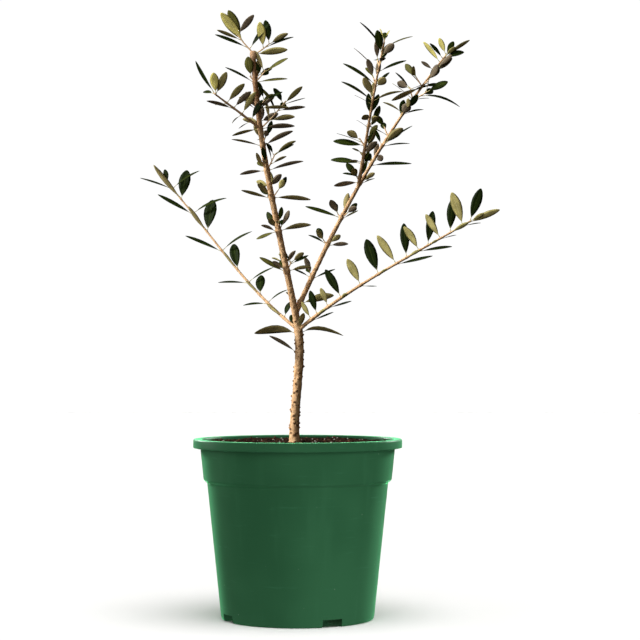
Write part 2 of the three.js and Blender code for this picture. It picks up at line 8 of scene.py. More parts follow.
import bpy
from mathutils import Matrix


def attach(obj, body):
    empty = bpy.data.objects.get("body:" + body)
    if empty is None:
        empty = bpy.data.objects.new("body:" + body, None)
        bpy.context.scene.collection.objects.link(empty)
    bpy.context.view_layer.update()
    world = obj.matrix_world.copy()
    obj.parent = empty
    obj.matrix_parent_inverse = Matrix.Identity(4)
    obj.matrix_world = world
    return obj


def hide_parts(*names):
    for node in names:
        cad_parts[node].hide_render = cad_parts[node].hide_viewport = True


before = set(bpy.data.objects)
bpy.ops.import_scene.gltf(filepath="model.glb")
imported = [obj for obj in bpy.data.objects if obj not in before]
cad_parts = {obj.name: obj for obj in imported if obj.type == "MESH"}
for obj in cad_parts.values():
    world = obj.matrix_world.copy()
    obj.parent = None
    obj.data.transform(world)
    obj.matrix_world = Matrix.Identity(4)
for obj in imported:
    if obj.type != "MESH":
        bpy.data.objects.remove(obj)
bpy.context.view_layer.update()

# %% [markdown]
# The plant's sizes are told in millimetres, as a gardener would, and turned into metres only where a mesh
# is made. A mesh object is made from points, with edges or faces and with named values on its points. Such
# values are called attributes, and Geometry Nodes and materials can both read them.

# %% Mesh helpers
import math

import bpy
from mathutils import Matrix, Vector

MM = 0.001


def mesh_object(name, points, edges=(), faces=(), facts=None):
    """A mesh object at the origin, from points in metres, with facts as attributes of its points."""
    mesh = bpy.data.meshes.new(name)
    mesh.from_pydata([tuple(p) for p in points], list(edges), list(faces))
    for fact, values in (facts or {}).items():
        vector = isinstance(values[0], Vector)
        attribute = mesh.attributes.new(fact, "FLOAT_VECTOR" if vector else "FLOAT", "POINT")
        flat = [c for v in values for c in v] if vector else values
        attribute.data.foreach_set("vector" if vector else "value", flat)
    thing = bpy.data.objects.new(name, mesh)
    bpy.context.scene.collection.objects.link(thing)
    return thing


def plain_mesh(thing):
    """Turns what the modifiers of thing make into its own mesh, and takes the modifiers off."""
    before = thing.data
    graph = bpy.context.evaluated_depsgraph_get()
    made = bpy.data.meshes.new_from_object(
        thing.evaluated_get(graph), preserve_all_data_layers=True, depsgraph=graph)
    thing.modifiers.clear()
    thing.data = made
    made.name = thing.name
    bpy.data.meshes.remove(before)
    print(thing.name, "has", len(made.vertices), "points and", len(made.polygons), "faces")
    return thing


def ring_of(radius, z, segments):
    """Points on a level circle."""
    return [Vector((radius * math.cos(a), radius * math.sin(a), z))
            for a in (2 * math.pi * i / segments for i in range(segments))]


def bands(rows, segments, first=0):
    """The faces between rings of points that follow each other, from point number first on."""
    return [tuple(first + segments * row + spot for row, spot in (
                (k, i), (k + 1, i), (k + 1, (i + 1) % segments), (k, (i + 1) % segments)))
            for k in range(rows - 1) for i in range(segments)]


# %% [markdown]
# Materials and Geometry Nodes are both graphs of nodes. Two small classes keep them readable. A Wire is a
# socket that takes part in sums, so `1 - mask * 0.5` adds the Math nodes it needs. A Bench adds any other
# node from its type, its settings and what goes into its sockets.

# %% Node helpers
def sum_of(operation, swapped=False):
    """A method that adds one Math node, for a wire and what stands to its right, or to its left."""
    def method(self, other):
        return self.maths(operation, *((other, self) if swapped else (self, other)))
    return method


class Wire:
    """An output socket. Sums with numbers and other wires add Math nodes."""

    __add__, __radd__ = sum_of("ADD"), sum_of("ADD", swapped=True)
    __sub__, __rsub__ = sum_of("SUBTRACT"), sum_of("SUBTRACT", swapped=True)
    __mul__, __truediv__, __pow__ = sum_of("MULTIPLY"), sum_of("DIVIDE"), sum_of("POWER")

    def __init__(self, tree, socket):
        self.tree, self.socket = tree, socket

    def maths(self, operation, *values):
        node = self.tree.nodes.new("ShaderNodeMath")
        node.operation = operation
        for inlet, value in zip(node.inputs, values):
            if isinstance(value, Wire):
                self.tree.links.new(value.socket, inlet)
            else:
                inlet.default_value = value
        return Wire(self.tree, node.outputs[0])

    def sine(self):
        return self.maths("SINE", self)

    def size(self):
        return self.maths("ABSOLUTE", self)

    def step(self, low, high):
        """0 below low, 1 above high, smooth between them."""
        node = self.tree.nodes.new("ShaderNodeMapRange")
        node.interpolation_type = "SMOOTHSTEP"
        self.tree.links.new(self.socket, node.inputs["Value"])
        node.inputs["From Min"].default_value, node.inputs["From Max"].default_value = low, high
        return Wire(self.tree, node.outputs["Result"])


class Outlets:
    """The outputs of one node, by name or number."""

    def __init__(self, tree, node):
        self.tree, self.node = tree, node

    def __getitem__(self, key):
        return Wire(self.tree, self.node.outputs[key])


class Bench:
    """Adds nodes to one graph."""

    def __init__(self, tree):
        self.tree = tree

    def add(self, kind, settings=None, sockets=None):
        """A new node of this kind. A socket takes a plain value or a wire."""
        node = self.tree.nodes.new(kind)
        for name, value in (settings or {}).items():
            setattr(node, name, value)
        for key, value in (sockets or {}).items():
            if isinstance(value, Wire):
                self.tree.links.new(value.socket, node.inputs[key])
            else:
                node.inputs[key].default_value = value
        return Outlets(self.tree, node)

    def vector(self, operation, *values, scale=None):
        sockets = dict(enumerate(values))
        if scale is not None:
            sockets["Scale"] = scale
        return self.add("ShaderNodeVectorMath", {"operation": operation}, sockets)["Vector"]

    def total(self, *vectors):
        summed = vectors[0]
        for vector in vectors[1:]:
            summed = self.vector("ADD", summed, vector)
        return summed


# %% [markdown]
# A Geometry Nodes tree gets its named inputs here, and `grow` runs it: the inputs are set by the sockets'
# identifiers, and the result becomes a plain mesh. The few nodes that every tree needs, to name a value,
# move points, make copies real and set a material, each have a short function.

# %% Geometry Nodes helpers
KINDS = {float: "NodeSocketFloat", int: "NodeSocketInt"}


def geometry_tree(name, inputs):
    """A new tree, its bench and its input outlets. inputs gives each named input's default or type."""
    tree = bpy.data.node_groups.new(name, "GeometryNodeTree")
    tree.interface.new_socket("Geometry", in_out="INPUT", socket_type="NodeSocketGeometry")
    for label, value in inputs.items():
        if isinstance(value, str):
            tree.interface.new_socket(label, in_out="INPUT", socket_type=value)
        else:
            socket = tree.interface.new_socket(label, in_out="INPUT", socket_type=KINDS[type(value)])
            socket.default_value = value
    tree.interface.new_socket("Geometry", in_out="OUTPUT", socket_type="NodeSocketGeometry")
    bench = Bench(tree)
    return tree, bench, bench.add("NodeGroupInput")


def end_tree(bench, geometry):
    bench.add("NodeGroupOutput", {}, {"Geometry": geometry})
    print("the tree", bench.tree.name, "has", len(bench.tree.nodes), "nodes")


def grow(thing, tree, inputs):
    """Runs the tree on thing, and keeps what it makes as a plain mesh."""
    modifier = thing.modifiers.new(tree.name, "NODES")
    modifier.node_group = tree
    for item in tree.interface.items_tree:
        if item.in_out == "INPUT" and item.name in inputs:
            modifier[item.identifier] = inputs[item.name]
    return plain_mesh(thing)


def named(bench, label, kind="FLOAT"):
    return bench.add("GeometryNodeInputNamedAttribute", {"data_type": kind}, {"Name": label})["Attribute"]


def stored(bench, geometry, label, value):
    return bench.add("GeometryNodeStoreNamedAttribute", {"data_type": "FLOAT", "domain": "POINT"},
                     {"Geometry": geometry, "Name": label, "Value": value})["Geometry"]


def moved(bench, geometry, **how):
    return bench.add("GeometryNodeSetPosition", {}, {"Geometry": geometry, **how})["Geometry"]


def copied(bench, points, thing, **how):
    copies = bench.add("GeometryNodeInstanceOnPoints", {}, {
        "Points": points, "Instance": thing, **how})["Instances"]
    return bench.add("GeometryNodeRealizeInstances", {}, {"Geometry": copies})["Geometry"]


def covered(bench, geometry, material, **which):
    return bench.add("GeometryNodeSetMaterial", {}, {
        "Geometry": geometry, "Material": material, **which})["Geometry"]


# %% [markdown]
# The camera stands two metres in front, a little above the rim of the pot, with a long lens that looks
# up by about one degree. It is set first, because it fixes what the viewer sees of every piece.

# %% Camera
SENSOR_WIDTH, FOCAL_LENGTH = 36.0, 106.3
CAMERA_PLACE, LOOKS_UP = (0.024, -2.041, 0.2775), 1.21
camera_data = bpy.data.cameras.new("camera")
camera_data.sensor_width, camera_data.lens = SENSOR_WIDTH, FOCAL_LENGTH
camera = bpy.data.objects.new("camera", camera_data)
camera.location = CAMERA_PLACE
camera.rotation_euler = (math.radians(90 + LOOKS_UP), 0, 0)
bpy.context.scene.collection.objects.link(camera)
bpy.context.scene.camera = camera
print("the camera stands at", CAMERA_PLACE)

# %% [markdown]
# ## How the tree grows
# An olive puts its leaves on in pairs, each pair a quarter turn round from the last, and side shoots start
# in the angle above a leaf. So a table of limbs, a table of the nodes where pairs stand and a table of side
# shoots are enough, with a small repeatable jitter for what differs from leaf to leaf. Each limb leans to
# the right of upright and to the back of upright by angles that change from its foot to its tip.

# %% The table of limbs
LIMBS = {
    "trunk": {"length": 123, "lean": [-1, -7], "depth": [0, 0], "bow": 9, "radius": [4.9, 4.6],
        "flare": 1.4},
    "leader": {"on": "trunk", "at": 123, "length": 300, "lean": [-11, -2], "depth": [-8, -3], "bow": -4,
        "radius": [3.6, 2.5], "flare": 0.8},
    "right_bough": {"on": "leader", "at": 16, "length": 355, "lean": [23.5, 38], "depth": [14, 24],
        "bow": -1, "radius": [2.9, 1], "flare": 0.5},
    "inner_bough": {"on": "right_bough", "at": 162, "length": 164, "lean": [10, 13], "depth": [-30, -12],
        "bow": -2, "radius": [1.9, 0.9], "flare": 0},
    "low_left_branch": {"on": "trunk", "at": 121, "length": 260, "lean": [-51, -41], "depth": [48, 14],
        "bow": 7, "radius": [1.7, 0.8], "flare": 0.5},
    "low_right_branch": {"on": "trunk", "at": 121, "length": 225, "lean": [51, 60], "depth": [-44, -12],
        "bow": 4, "radius": [2, 0.9], "flare": 0.5},
    "left_twig": {"on": "leader", "at": 218, "length": 62, "lean": [-52, -53], "depth": [-34, -20],
        "bow": -2, "radius": [1.5, 0.9], "flare": 0},
}

# %% [markdown]
# In the table of pairs, plane is 0 where a pair spreads to right and left and 90 where it spreads to back
# and front, and it turns by step from node to node: 0 and 180 where they aren't given. Each node is a row:
# its distance, then spread, length and roll of its right or back leaf, and the same three of its left or
# front leaf. Width is a share of the length. Where width, curl and tint are lists, they go in the order
# right, left, back, front. A shoot is distance, length, lean, depth and leaf length, and where its leaves
# stand apart they follow one by one: distance, turn, spread, length, width, roll, curl and tint. A single
# leaf on a limb is such a row too. Tint 0 is grey beneath and darkest above, 1 olive beneath, 2 green
# beneath and 3 young.

# %% The tables of leaves and side shoots
PAIRS = {
    "leader": {"nodes": [[63, 90, 21, -50, 45, 28, -28], [107, 86, 30, -45, 93, 20, -40],
        [143, 98, 36, -40, 57, 29, 28], [173, 84, 35, -35, 80, 24, 35], [200, 66, 31, -45, 60, 29, 24],
        [218, 86, 32, -30, 92, 26, 30], [239, 52, 16, -60, 45, 12, 30], [268, 86, 30, 26, 50, 31, -26]],
        "width": 0.28},
    "right_bough": {"nodes": [[14, 45, 32, -40, 75, 14, 30], [44, 32, 24, 28, 84, 16, -50],
        [86, 52, 18, -40, 83, 19, -50], [120, 29, 18, 40, 95, 37, -40], [167, 32, 14, 28, 127, 26, 32],
        [192, 46, 43, 30, 60, 15, 28], [219, 46, 28, 36, 48, 17, -76], [266, 36, 22, 26, 82, 22, -10],
        [287, 40, 16, 28, 78, 26, -28], [307, 32, 20, 50, 73, 24, -34], [332, 16, 23, -70, 92, 14, 60]],
        "width": 0.31},
    "inner_bough": {"nodes": [[12, 8, 17, 60, 78, 15, -8], [28, 14, 16, 50, 93, 31, -22],
        [40, 16, 14, 50, 70, 10, -50], [49, 8, 15, 60, 88, 31, -24], [70, 30, 12, 50, 62, 11, 20],
        [100, 50, 30, -24, 62, 36, -8], [118, 30, 16, 50, 62, 38, -8], [132, 50, 29, 10, 52, 33, 14],
        [157, 44, 31, 6, 48, 34, -12]], "width": 0.29},
    "low_left_branch": {"nodes": [[26, 60, 17, 74, 6, 24, 20], [55, 90, 22, 62, 36, 29, -46],
        [70, 32, 26, 74, 6, 22, 30], [92, 90, 29, 64, 42, 33, -52], [114, 26, 33, 74, 6, 24, 30],
        [145, 86, 36, 62, 24, 47, -46], [176, 40, 39, 74, 6, 33, 30], [204, 94, 38, 50, 18, 47, -44],
        [227, 46, 34, 74, 4, 48, 40], [243, 84, 33, 50, 24, 39, -36]], "plane": 90, "step": 90,
        "up": 72, "width": [0.16, 0.17, 0.4, 0.16], "curl": [0.22, 0.08, 0.04, 0.04],
        "tint": [1, 0, 0, 1]},
    "low_right_branch": {"nodes": [[21, 12, 24, 28, 84, 17, 90], [30, 69, 23, -74, 20, 14, 20],
        [46, 18, 24, 28, 68, 18, 90], [64, 86, 31, -60, 44, 18, 30], [90, 30, 14, 28, 80, 27, 78],
        [113, 86, 37, -66, 30, 12, 20], [135, 15, 37, 28, 94, 32, 66], [148, 68, 34, -74, 5, 14, 20],
        [163, 22, 32, 28, 90, 26, 66], [174, 56, 34, -74, 8, 10, 20], [189, 12, 14, 28, 92, 26, 72],
        [201, 58, 34, -74, 10, 20, 30], [216, 15, 16, 28, 74, 33, 78], [225, 40, 33, -80, 10, 14, 20]],
        "step": 90, "up": -78, "width": [0.16, 0.37, 0.33, 0.3],
        "curl": [0.04, 0.05, 0.05, 0.05], "tint": [0, 2, 0, 2]},
    "left_twig": {"nodes": [[14, 77, 22, 60, 60, 12, 28], [26, 85, 24, -70, 70, 11, 28],
        [37, 98, 22, -60, 15, 27, 28], [46, 96, 24, -60, 40, 9, 28]], "width": 0.36},
}
SHOOTS = {
    "leader": [[63, 11, 29, -12, 18, [[10, 180, 74, 13, 6, 40, 0.1, 2],
        [11, 185, 57, 17, 6, -30, 0.1, 0], [11, 0, 28, 14, 7, -60, 0.1, 1],
        [9, 0, 37, 18, 6, 30, 0.1, 0]]], [63, 3, -60, 20, 16], [64, 14, -14, 62, 17],
        [107, 6, 32, 30, 18], [107, 5, -48, -30, 18], [108, 12, 5, -60, 15], [143, 10, 42, -12, 17],
        [143, 3, -55, 0, 20], [144, 22, -12, 58, 18],
        [173, 20, 29, -8, 19, [[8, 0, 34, 16, 6, -30, 0.1, 1], [19, 0, 34, 20, 8, 25, 0.1, 0],
        [20, 10, 30, 23, 8, -40, 0.1, 2], [18, 180, 53, 13, 7, -30, 0.1, 0],
        [12, 170, 40, 14, 6, 0, 0.1, 0]]], [173, 4, -52, 20, 16], [172, 12, -10, -60, 16],
        [202, 8, 30, -45, 17], [201, 10, -30, 50, 16],
        [218, 41, 46, 8, 20, [[14, 0, 37, 24, 8, -40, 0.1, 1], [28, 0, 38, 26, 8, -20, 0.12, 0],
        [37, 180, 67, 17, 8, -60, 0.1, 0], [38, 0, 6, 24, 8, -40, 0.05, 2],
        [36, 0, 29, 22, 7, 0, 0.1, 1], [14, 180, 50, 16, 7, 30, 0.1, 1],
        [24, 190, 60, 14, 7, -30, 0.1, 0], [30, 90, 50, 18, 8, 0, 0.1, 0]]], [219, 24, -5, 60, 18],
        [238, 14, 38, -38, 18], [236, 14, -28, 45, 18],
        [268, 17, 46, -10, 20, [[15, 180, 60, 21, 6, 60, 0.05, 1], [15, 0, 20, 26, 7, 40, 0.08, 2],
        [11, 180, 70, 12, 6, -60, 0.05, 0], [8, 90, 50, 14, 7, 0, 0.1, 0]]],
        [268, 9, -45, -20, 19, [[7, 0, 27, 19, 10, 75, 0.05, 2]]], [267, 16, 15, 55, 18],
        [299, 27, -45, -6, 25, [[16, 345, 3, 36, 11, -80, 0.05, 3], [20, 30, 20, 32, 11, 76, 0.05, 2],
        [26, 0, 76, 24, 8, -60, 0.08, 0], [19, 180, 26, 25, 7, 28, 0.05, 1],
        [9, 180, 24, 34, 8, -34, 0.06, 0], [6, 0, 78, 31, 7, 50, 0.1, 0],
        [24, 90, 24, 24, 8, 0, 0.1, 0]]], [297, 21, 60, 6, 24, [[13, 190, 58, 25, 10, 75, 0.06, 3],
        [21, 165, 54, 25, 9, -74, 0.05, 0], [21, 0, 8, 20, 7, -50, 0.1, 1],
        [16, 0, 16, 29, 7, 28, 0.06, 0], [3, 0, 21, 31, 9, -50, 0.1, 2]]]],
    "right_bough": [[44, 5, -20, 30, 18], [86, 6, -48, -10, 17], [86, 3, 62, 0, 15],
        [120, 6, -38, 10, 20], [120, 8, 55, -20, 17], [121, 12, 20, 60, 18], [167, 7, -34, -30, 20],
        [167, 5, 58, 30, 13], [192, 12, 30, 62, 18],
        [219, 5, 50, -45, 22, [[4, 0, 6, 26, 11, -60, 0.05, 1], [4, 0, 13, 36, 6, 12, 0.05, 0]]],
        [232, 12, -22, 10, 20, [[11, 180, 10, 14, 9, -60, 0.05, 1], [7, 90, 40, 16, 7, 0, 0.05, 0]]],
        [266, 6, 42, -30, 19], [287, 18, 68, -10, 22, [[18, 0, 5, 23, 10, 60, 0.08, 1],
        [10, 0, 26, 40, 7, 32, 0.42, 0], [17, 180, 40, 12, 7, 0, 0.1, 0],
        [12, 90, 45, 18, 8, 0, 0.1, 1]]], [287, 15, -14, 20, 19, [[14, 180, 46, 13, 9, 60, 0.05, 0],
        [15, 180, 26, 22, 6, -40, 0.05, 0], [13, 0, 79, 18, 6, 15, 0.05, 0],
        [10, 0, 80, 19, 8, 40, 0.08, 0]]], [307, 12, -38, -20, 19], [307, 10, 50, -10, 20],
        [332, 6, 60, 44, 18], [353, 4, 36, -10, 24, [[4, 180, 50, 17, 7, 70, 0.05, 3],
        [3, 0, 25, 29, 8, -32, 0.06, 2], [0, 0, 34, 20, 9, 50, 0.08, 0], [4, 90, 30, 18, 7, 0, 0.05, 1],
        [2, 300, 30, 14, 6, 0, 0.05, 2]]]],
    "inner_bough": [[48, 11, -37, -10, 18, [[9, 180, 23, 14, 9, 60, 0.1, 1],
        [6, 180, 34, 26, 6, -8, 0.08, 0]]], [40, 10, 30, 50, 18], [70, 6, 40, -40, 21],
        [94, 12, 0, 62, 16], [118, 8, -20, 10, 20], [118, 12, 10, 60, 18], [138, 5, 30, -50, 17],
        [138, 10, -14, 50, 19], [163, 4, 6, 10, 22, [[4, 0, 20, 9, 4, 30, 0.05, 3],
        [4, 190, 24, 10, 5, 0, 0.05, 3], [3, 90, 40, 15, 7, 0, 0.05, 1]]]],
    "left_twig": [[61, 3, -52, 0, 24, [[0, 340, 48, 20, 10, -80, 0.05, 3],
        [0, 20, 76, 25, 9, -65, 0.08, 2], [3, 0, 10, 36, 8, 30, 0.03, 0],
        [2, 120, 45, 13, 6, 0, 0.05, 1]]]],
}
SINGLES = {
    "trunk": [[118, 180, 64, 38, 13, 50, 0.6, 1], [118, 5, 66, 33, 10, -34, 0.9, 1],
        [97, 185, 50, 31, 8, 30, 0.18, 0], [122, 300, 30, 17, 8, 0, 0.1, 1],
        [122, 110, 35, 19, 9, 0, 0.1, 0]],
    "leader": [[107, 200, 54, 16, 6, 30, 0.08, 0], [240, 350, 92, 29, 7, -32, 0.05, 1],
        [266, 0, 142, 22, 6, 40, 0.05, 2]],
    "right_bough": [[198, 330, 40, 8, 8, -60, 0.05, 0], [233, 180, 93, 24, 5, -8, 0.05, 0],
        [262, 265, 35, 13, 11, 10, 0.05, 0], [261, 160, 20, 20, 8, -60, 0.05, 0],
        [304, 180, 150, 36, 8, 30, 0.1, 1], [345, 180, 72, 27, 7, 25, 0.06, 3],
        [351, 180, 74, 20, 8, -60, 0.06, 0]],
    "inner_bough": [[11, 200, 46, 12, 8, -70, 0.05, 0], [28, 15, 28, 11, 8, 60, 0.05, 0],
        [30, 205, 80, 11, 7, 45, 0.05, 1], [38, 350, 26, 19, 9, -60, 0.08, 0],
        [58, 10, 26, 15, 7, 50, 0.05, 2], [77, 235, 55, 12, 9, 50, 0.05, 1],
        [84, 150, 14, 20, 7, -60, 0.05, 0], [85, 30, 10, 20, 7, 60, 0.05, 0],
        [96, 190, 66, 18, 6, 10, 0.08, 0], [105, 200, 36, 21, 9, 60, 0.06, 1],
        [115, 345, 34, 12, 10, -65, 0.05, 1], [152, 190, 20, 22, 10, -75, 0.05, 1],
        [149, 330, 34, 17, 9, -60, 0.08, 0]],
    "low_left_branch": [[258, 0, 2, 12, 5, 60, 0.05, 2], [252, 20, 26, 15, 6, 70, 0.05, 0]],
    "low_right_branch": [[223, 350, 6, 32, 8, -50, 0.05, 2]],
}
NO_PAIRS = {"nodes": []}
PETIOLE = 3.0
SHOOT_HABIT = {"gap": 8.5, "bare": 5, "room": 9, "pair_spread": 55, "tip_spread": 38, "lift": 0.05,
               "radius": (0.9, 0.6), "width": 0.4, "straightens": 0.8}
ROW_SCATTER = {"turn": 6, "spread": 3, "roll": 8, "size": 0}
SHOOT_SCATTER = {"turn": 14, "spread": 5, "roll": 35, "size": 0.1}
WIDTH_SCATTER, CURL_SCATTER, PAIR_CURL = 0.15, 0.05, 0.12
TRUNK_FOOT = Vector((-3.5, 0.0, 189.0))
UP = Vector((0, 0, 1))
STEPS, FLARE_REACH, LEAF_SEAT = 24, 10, 0.8


# %% Stems
def jitter(*keys):
    """A repeatable number from -1 to 1 for a set of whole numbers."""
    total = sum((key + 1.37) * (12.9898 + i * 65.233) for i, key in enumerate(keys))
    value = math.sin(total) * 43758.5453
    return 2 * (value - math.floor(value)) - 1


def heading(lean, depth):
    return Vector((math.tan(math.radians(lean)), math.tan(math.radians(depth)), 1)).normalized()


def mix(low, high, share):
    return low + (high - low) * share


class Stem:
    """A curved tapering stem, kept as a run of short steps."""

    def __init__(self, base, length, lean, depth, radius, bow=0, flare=0, **_):
        self.length, self.radius, self.flare = length, radius, flare
        self.points, self.ways = [Vector(base)], []
        for i in range(STEPS + 1):
            u = i / STEPS
            lean_here = mix(*lean, u) + bow * math.sin(math.pi * u)
            self.ways.append(heading(lean_here, mix(*depth, u)))
            if i < STEPS:
                self.points.append(self.points[i] + self.ways[i] * (length / STEPS))

    def at(self, distance):
        u = min(max(distance / self.length, 0), 1) * STEPS
        i = min(int(u), STEPS - 1)
        return (self.points[i].lerp(self.points[i + 1], u - i),
                self.ways[i].lerp(self.ways[i + 1], u - i).normalized())

    def radius_at(self, distance):
        u = min(max(distance / self.length, 0), 1)
        return mix(*self.radius, u) + self.flare * math.exp(-distance / FLARE_REACH)


stems = {}
for name, limb in LIMBS.items():
    foot = stems[limb["on"]].at(limb["at"])[0] if "on" in limb else TRUNK_FOOT
    stems[name] = Stem(foot, **limb)
    print(name, "is", limb["length"], "mm long and ends at", [round(c) for c in stems[name].points[-1]])


# %% Leaves and side shoots
def grow_leaf(stem, distance, turn, spread, length, width, curl, lift=0.0, roll=0.0, tint=0):
    """One leaf: where its stalk starts, which way it points and its face looks, and its size."""
    point, along = stem.at(distance)
    right = Vector((along.z, 0, -along.x)).normalized()
    back = along.cross(right)
    turn, spread = math.radians(turn), math.radians(spread)
    out = right * math.cos(turn) + back * math.sin(turn)
    way = (along * math.cos(spread) + out * math.sin(spread) + UP * lift).normalized()
    face = (along - way * along.dot(way)).normalized()
    face.rotate(Matrix.Rotation(math.radians(roll), 3, way))
    base = point + out * LEAF_SEAT * stem.radius_at(distance)
    return {"root": point, "base": base, "way": way, "face": face, "length": length, "width": width,
            "curl": curl, "tint": tint}


def grow_pair(stem, seed, index, distance, plane, habit, row=()):
    """The two leaves of a pair, opposite each other. row holds their spreads, lengths and rolls if given."""
    turns = (0, 180, 90 - habit.get("up", 0), 270)
    front_and_back, swapped = int(plane // 90) % 2, int(plane // 180) % 2
    scatter = ROW_SCATTER if row else SHOOT_SCATTER
    pair = []
    for side in (0, 1):
        def random(n):
            return jitter(seed, index, side, n)
        kind = front_and_back * 2 + (1 - side if swapped else side)
        spread, size, roll = row[3 * (kind % 2):][:3] if row else (habit["spread"], habit["leaf"], 0)
        size *= 1 + scatter["size"] * random(2)
        width = habit["width"][kind] if isinstance(habit["width"], list) else habit["width"]
        curl = habit["curl"][kind] if "curl" in habit else PAIR_CURL
        pair.append(grow_leaf(
            stem, distance, turns[kind] + scatter["turn"] * random(0),
            spread + scatter["spread"] * random(1), size,
            size * width * (1 + WIDTH_SCATTER * random(3)), curl + CURL_SCATTER * random(5),
            lift=habit.get("lift", 0), roll=roll + scatter["roll"] * random(4),
            tint=habit["tint"][kind] if "tint" in habit else tint_of(seed, index, side)))
    return pair


def single_leaf(stem, row):
    distance, turn, spread, length, width, roll, curl, tint = row
    return grow_leaf(stem, distance, turn, spread, length, width, curl, roll=roll, tint=tint)


def tint_of(seed, index, side):
    """Which of the leaf colours a leaf takes when its table gives none: grey, olive or green."""
    draw = jitter(seed, index, side, 6)
    return 0 if draw < -0.1 else 1 if draw < 0.55 else 2


leaves, shoots = [], []
for limb_index, (name, stem) in enumerate(stems.items()):
    habit = PAIRS.get(name, NO_PAIRS)
    for k, (distance, *row) in enumerate(habit["nodes"]):
        plane = habit.get("plane", 0) + k * habit.get("step", 180)
        leaves += grow_pair(stem, limb_index, k, distance, plane, habit, row)
    for k, (distance, length, lean, depth, leaf, *own) in enumerate(SHOOTS.get(name, [])):
        end = SHOOT_HABIT["straightens"]
        shoot = Stem(stem.at(distance)[0], length, (lean, end * lean), (depth, end * depth),
                     SHOOT_HABIT["radius"])
        shoots.append(shoot)
        if own:
            leaves += [single_leaf(shoot, row) for row in own[0]]
            continue
        pairs = max(0, (length - SHOOT_HABIT["bare"]) // SHOOT_HABIT["room"])
        for i in range(pairs + 1):
            up = length - (pairs - i) * SHOOT_HABIT["gap"]
            spread = SHOOT_HABIT["pair_spread" if i < pairs else "tip_spread"]
            leaves += grow_pair(shoot, 100 * (limb_index + 1) + k, i, up, 90 * (i + 1),
                                {**SHOOT_HABIT, "spread": spread, "leaf": leaf})
    leaves += [single_leaf(stem, row) for row in SINGLES.get(name, [])]
print(len(leaves), "leaves on", len(shoots), "side shoots")

# %% [markdown]
# ## Bark, twigs and leaf stalks
# A limb is a tube that follows a curved line and tapers. It could be modelled by hand, but a sweep along the
# limb's own centre line keeps it in place. The tree below turns centre lines into curves, sweeps a circle
# along them and pushes the skin in and out. Noise gives the bark its small bumps, and the cells of a
# Voronoi pattern give the thick limbs their knobs. Both are read on a ring of one fixed radius, by turn and
# distance along, so that they keep their size as the limb tapers. Twigs and leaf stalks take fewer sides
# and less relief.

# %% A tree that sweeps limbs
PATTERN_RADIUS = 0.005
LUMPS = {"Scale": 300.0, "Detail": 4.0}
KNOB_CELLS, KNOB_SHIFT = 228.0, 0.31
KNOB_EDGE = (0.08, 0.36)
KNOBBY_RADII = (0.0032, 0.0044)
RELIEF_RADII = (0.0006, 0.0034)


def cells(bench, vector, scale):
    """How far a place lies from the middle of its cell in a Voronoi pattern."""
    return bench.add("ShaderNodeTexVoronoi", {"feature": "F1"}, {
        "Vector": vector, "Scale": scale})["Distance"]


sweep_tree, bench, given = geometry_tree("sweep", {
    "Sides": 20, "Spacing": 0.0012, "Relief": 0.0, "Warts": 0.0, "Material": "NodeSocketMaterial"})
curve = bench.add("GeometryNodeMeshToCurve", {}, {"Mesh": given["Geometry"]})["Curve"]
curve = bench.add("GeometryNodeCurveSplineType", {"spline_type": "CATMULL_ROM"}, {"Curve": curve})["Curve"]
curve = bench.add("GeometryNodeResampleCurve", {"mode": "LENGTH"},
                  {"Curve": curve, "Length": given["Spacing"]})["Curve"]
ring = bench.add("GeometryNodeCurvePrimitiveCircle", {}, {
    "Resolution": given["Sides"], "Radius": 1.0})["Curve"]
turn_factor = bench.add("GeometryNodeSplineParameter")["Factor"]
ring = stored(bench, ring, "turn", turn_factor * (2 * math.pi))
thickness = named(bench, "thickness")
tube = bench.add("GeometryNodeCurveToMesh", {}, {
    "Curve": curve, "Profile Curve": ring, "Scale": thickness, "Fill Caps": True})["Mesh"]
along, turn = named(bench, "along"), named(bench, "turn")
around = bench.add("ShaderNodeCombineXYZ", {}, {
    "X": turn.maths("COSINE", turn) * PATTERN_RADIUS, "Y": turn.sine() * PATTERN_RADIUS,
    "Z": along + KNOB_SHIFT})["Vector"]
lumps = bench.add("ShaderNodeTexNoise", {}, {"Vector": around, **LUMPS})["Fac"]
knob = (1 - cells(bench, around, KNOB_CELLS).step(*KNOB_EDGE)) * thickness.step(*KNOBBY_RADII)
tube = stored(bench, tube, "knob", knob)
height = (lumps - 0.5) * given["Relief"] + knob * given["Warts"]
height = height * thickness.step(*RELIEF_RADII)
skin = bench.add("GeometryNodeInputNormal")["Normal"]
tube = moved(bench, tube, Offset=bench.vector("SCALE", skin, scale=height))
end_tree(bench, covered(bench, tube, given["Material"]))

# %% [markdown]
# A centre line is a run of points. A limb swells a little at each joint where a pair of leaves stands. Each
# line starts its pattern at another place, so no two limbs carry the same knobs.

# %% Centre lines
LINE_PHASE = 0.7
SWELLING, SWELLING_REACH = 0.2, 2.2


def centre_lines(name, lines):
    """Runs of points as one mesh of edges. Each point has a radius, and its distance along its line."""
    points, edges, radii, distances = [], [], [], []
    for number, line in enumerate(lines):
        travelled = LINE_PHASE * number
        for i, (point, radius) in enumerate(line):
            if i:
                travelled += (point - line[i - 1][0]).length * MM
                edges.append((len(points) - 1, len(points)))
            points.append(point * MM)
            radii.append(radius * MM)
            distances.append(travelled)
    return mesh_object(name, points, edges, facts={"thickness": radii, "along": distances})


def stem_line(stem, step, joints=()):
    """The stem's centre and radius every step mm or so, swollen a little at each joint."""
    steps = math.ceil(stem.length / step)
    line = []
    for s in (stem.length * i / steps for i in range(steps + 1)):
        swelling = 1 + SWELLING * sum(math.exp(-((s - joint) / SWELLING_REACH) ** 2) for joint in joints)
        line.append((stem.at(s)[0], stem.radius_at(s) * swelling))
    return line


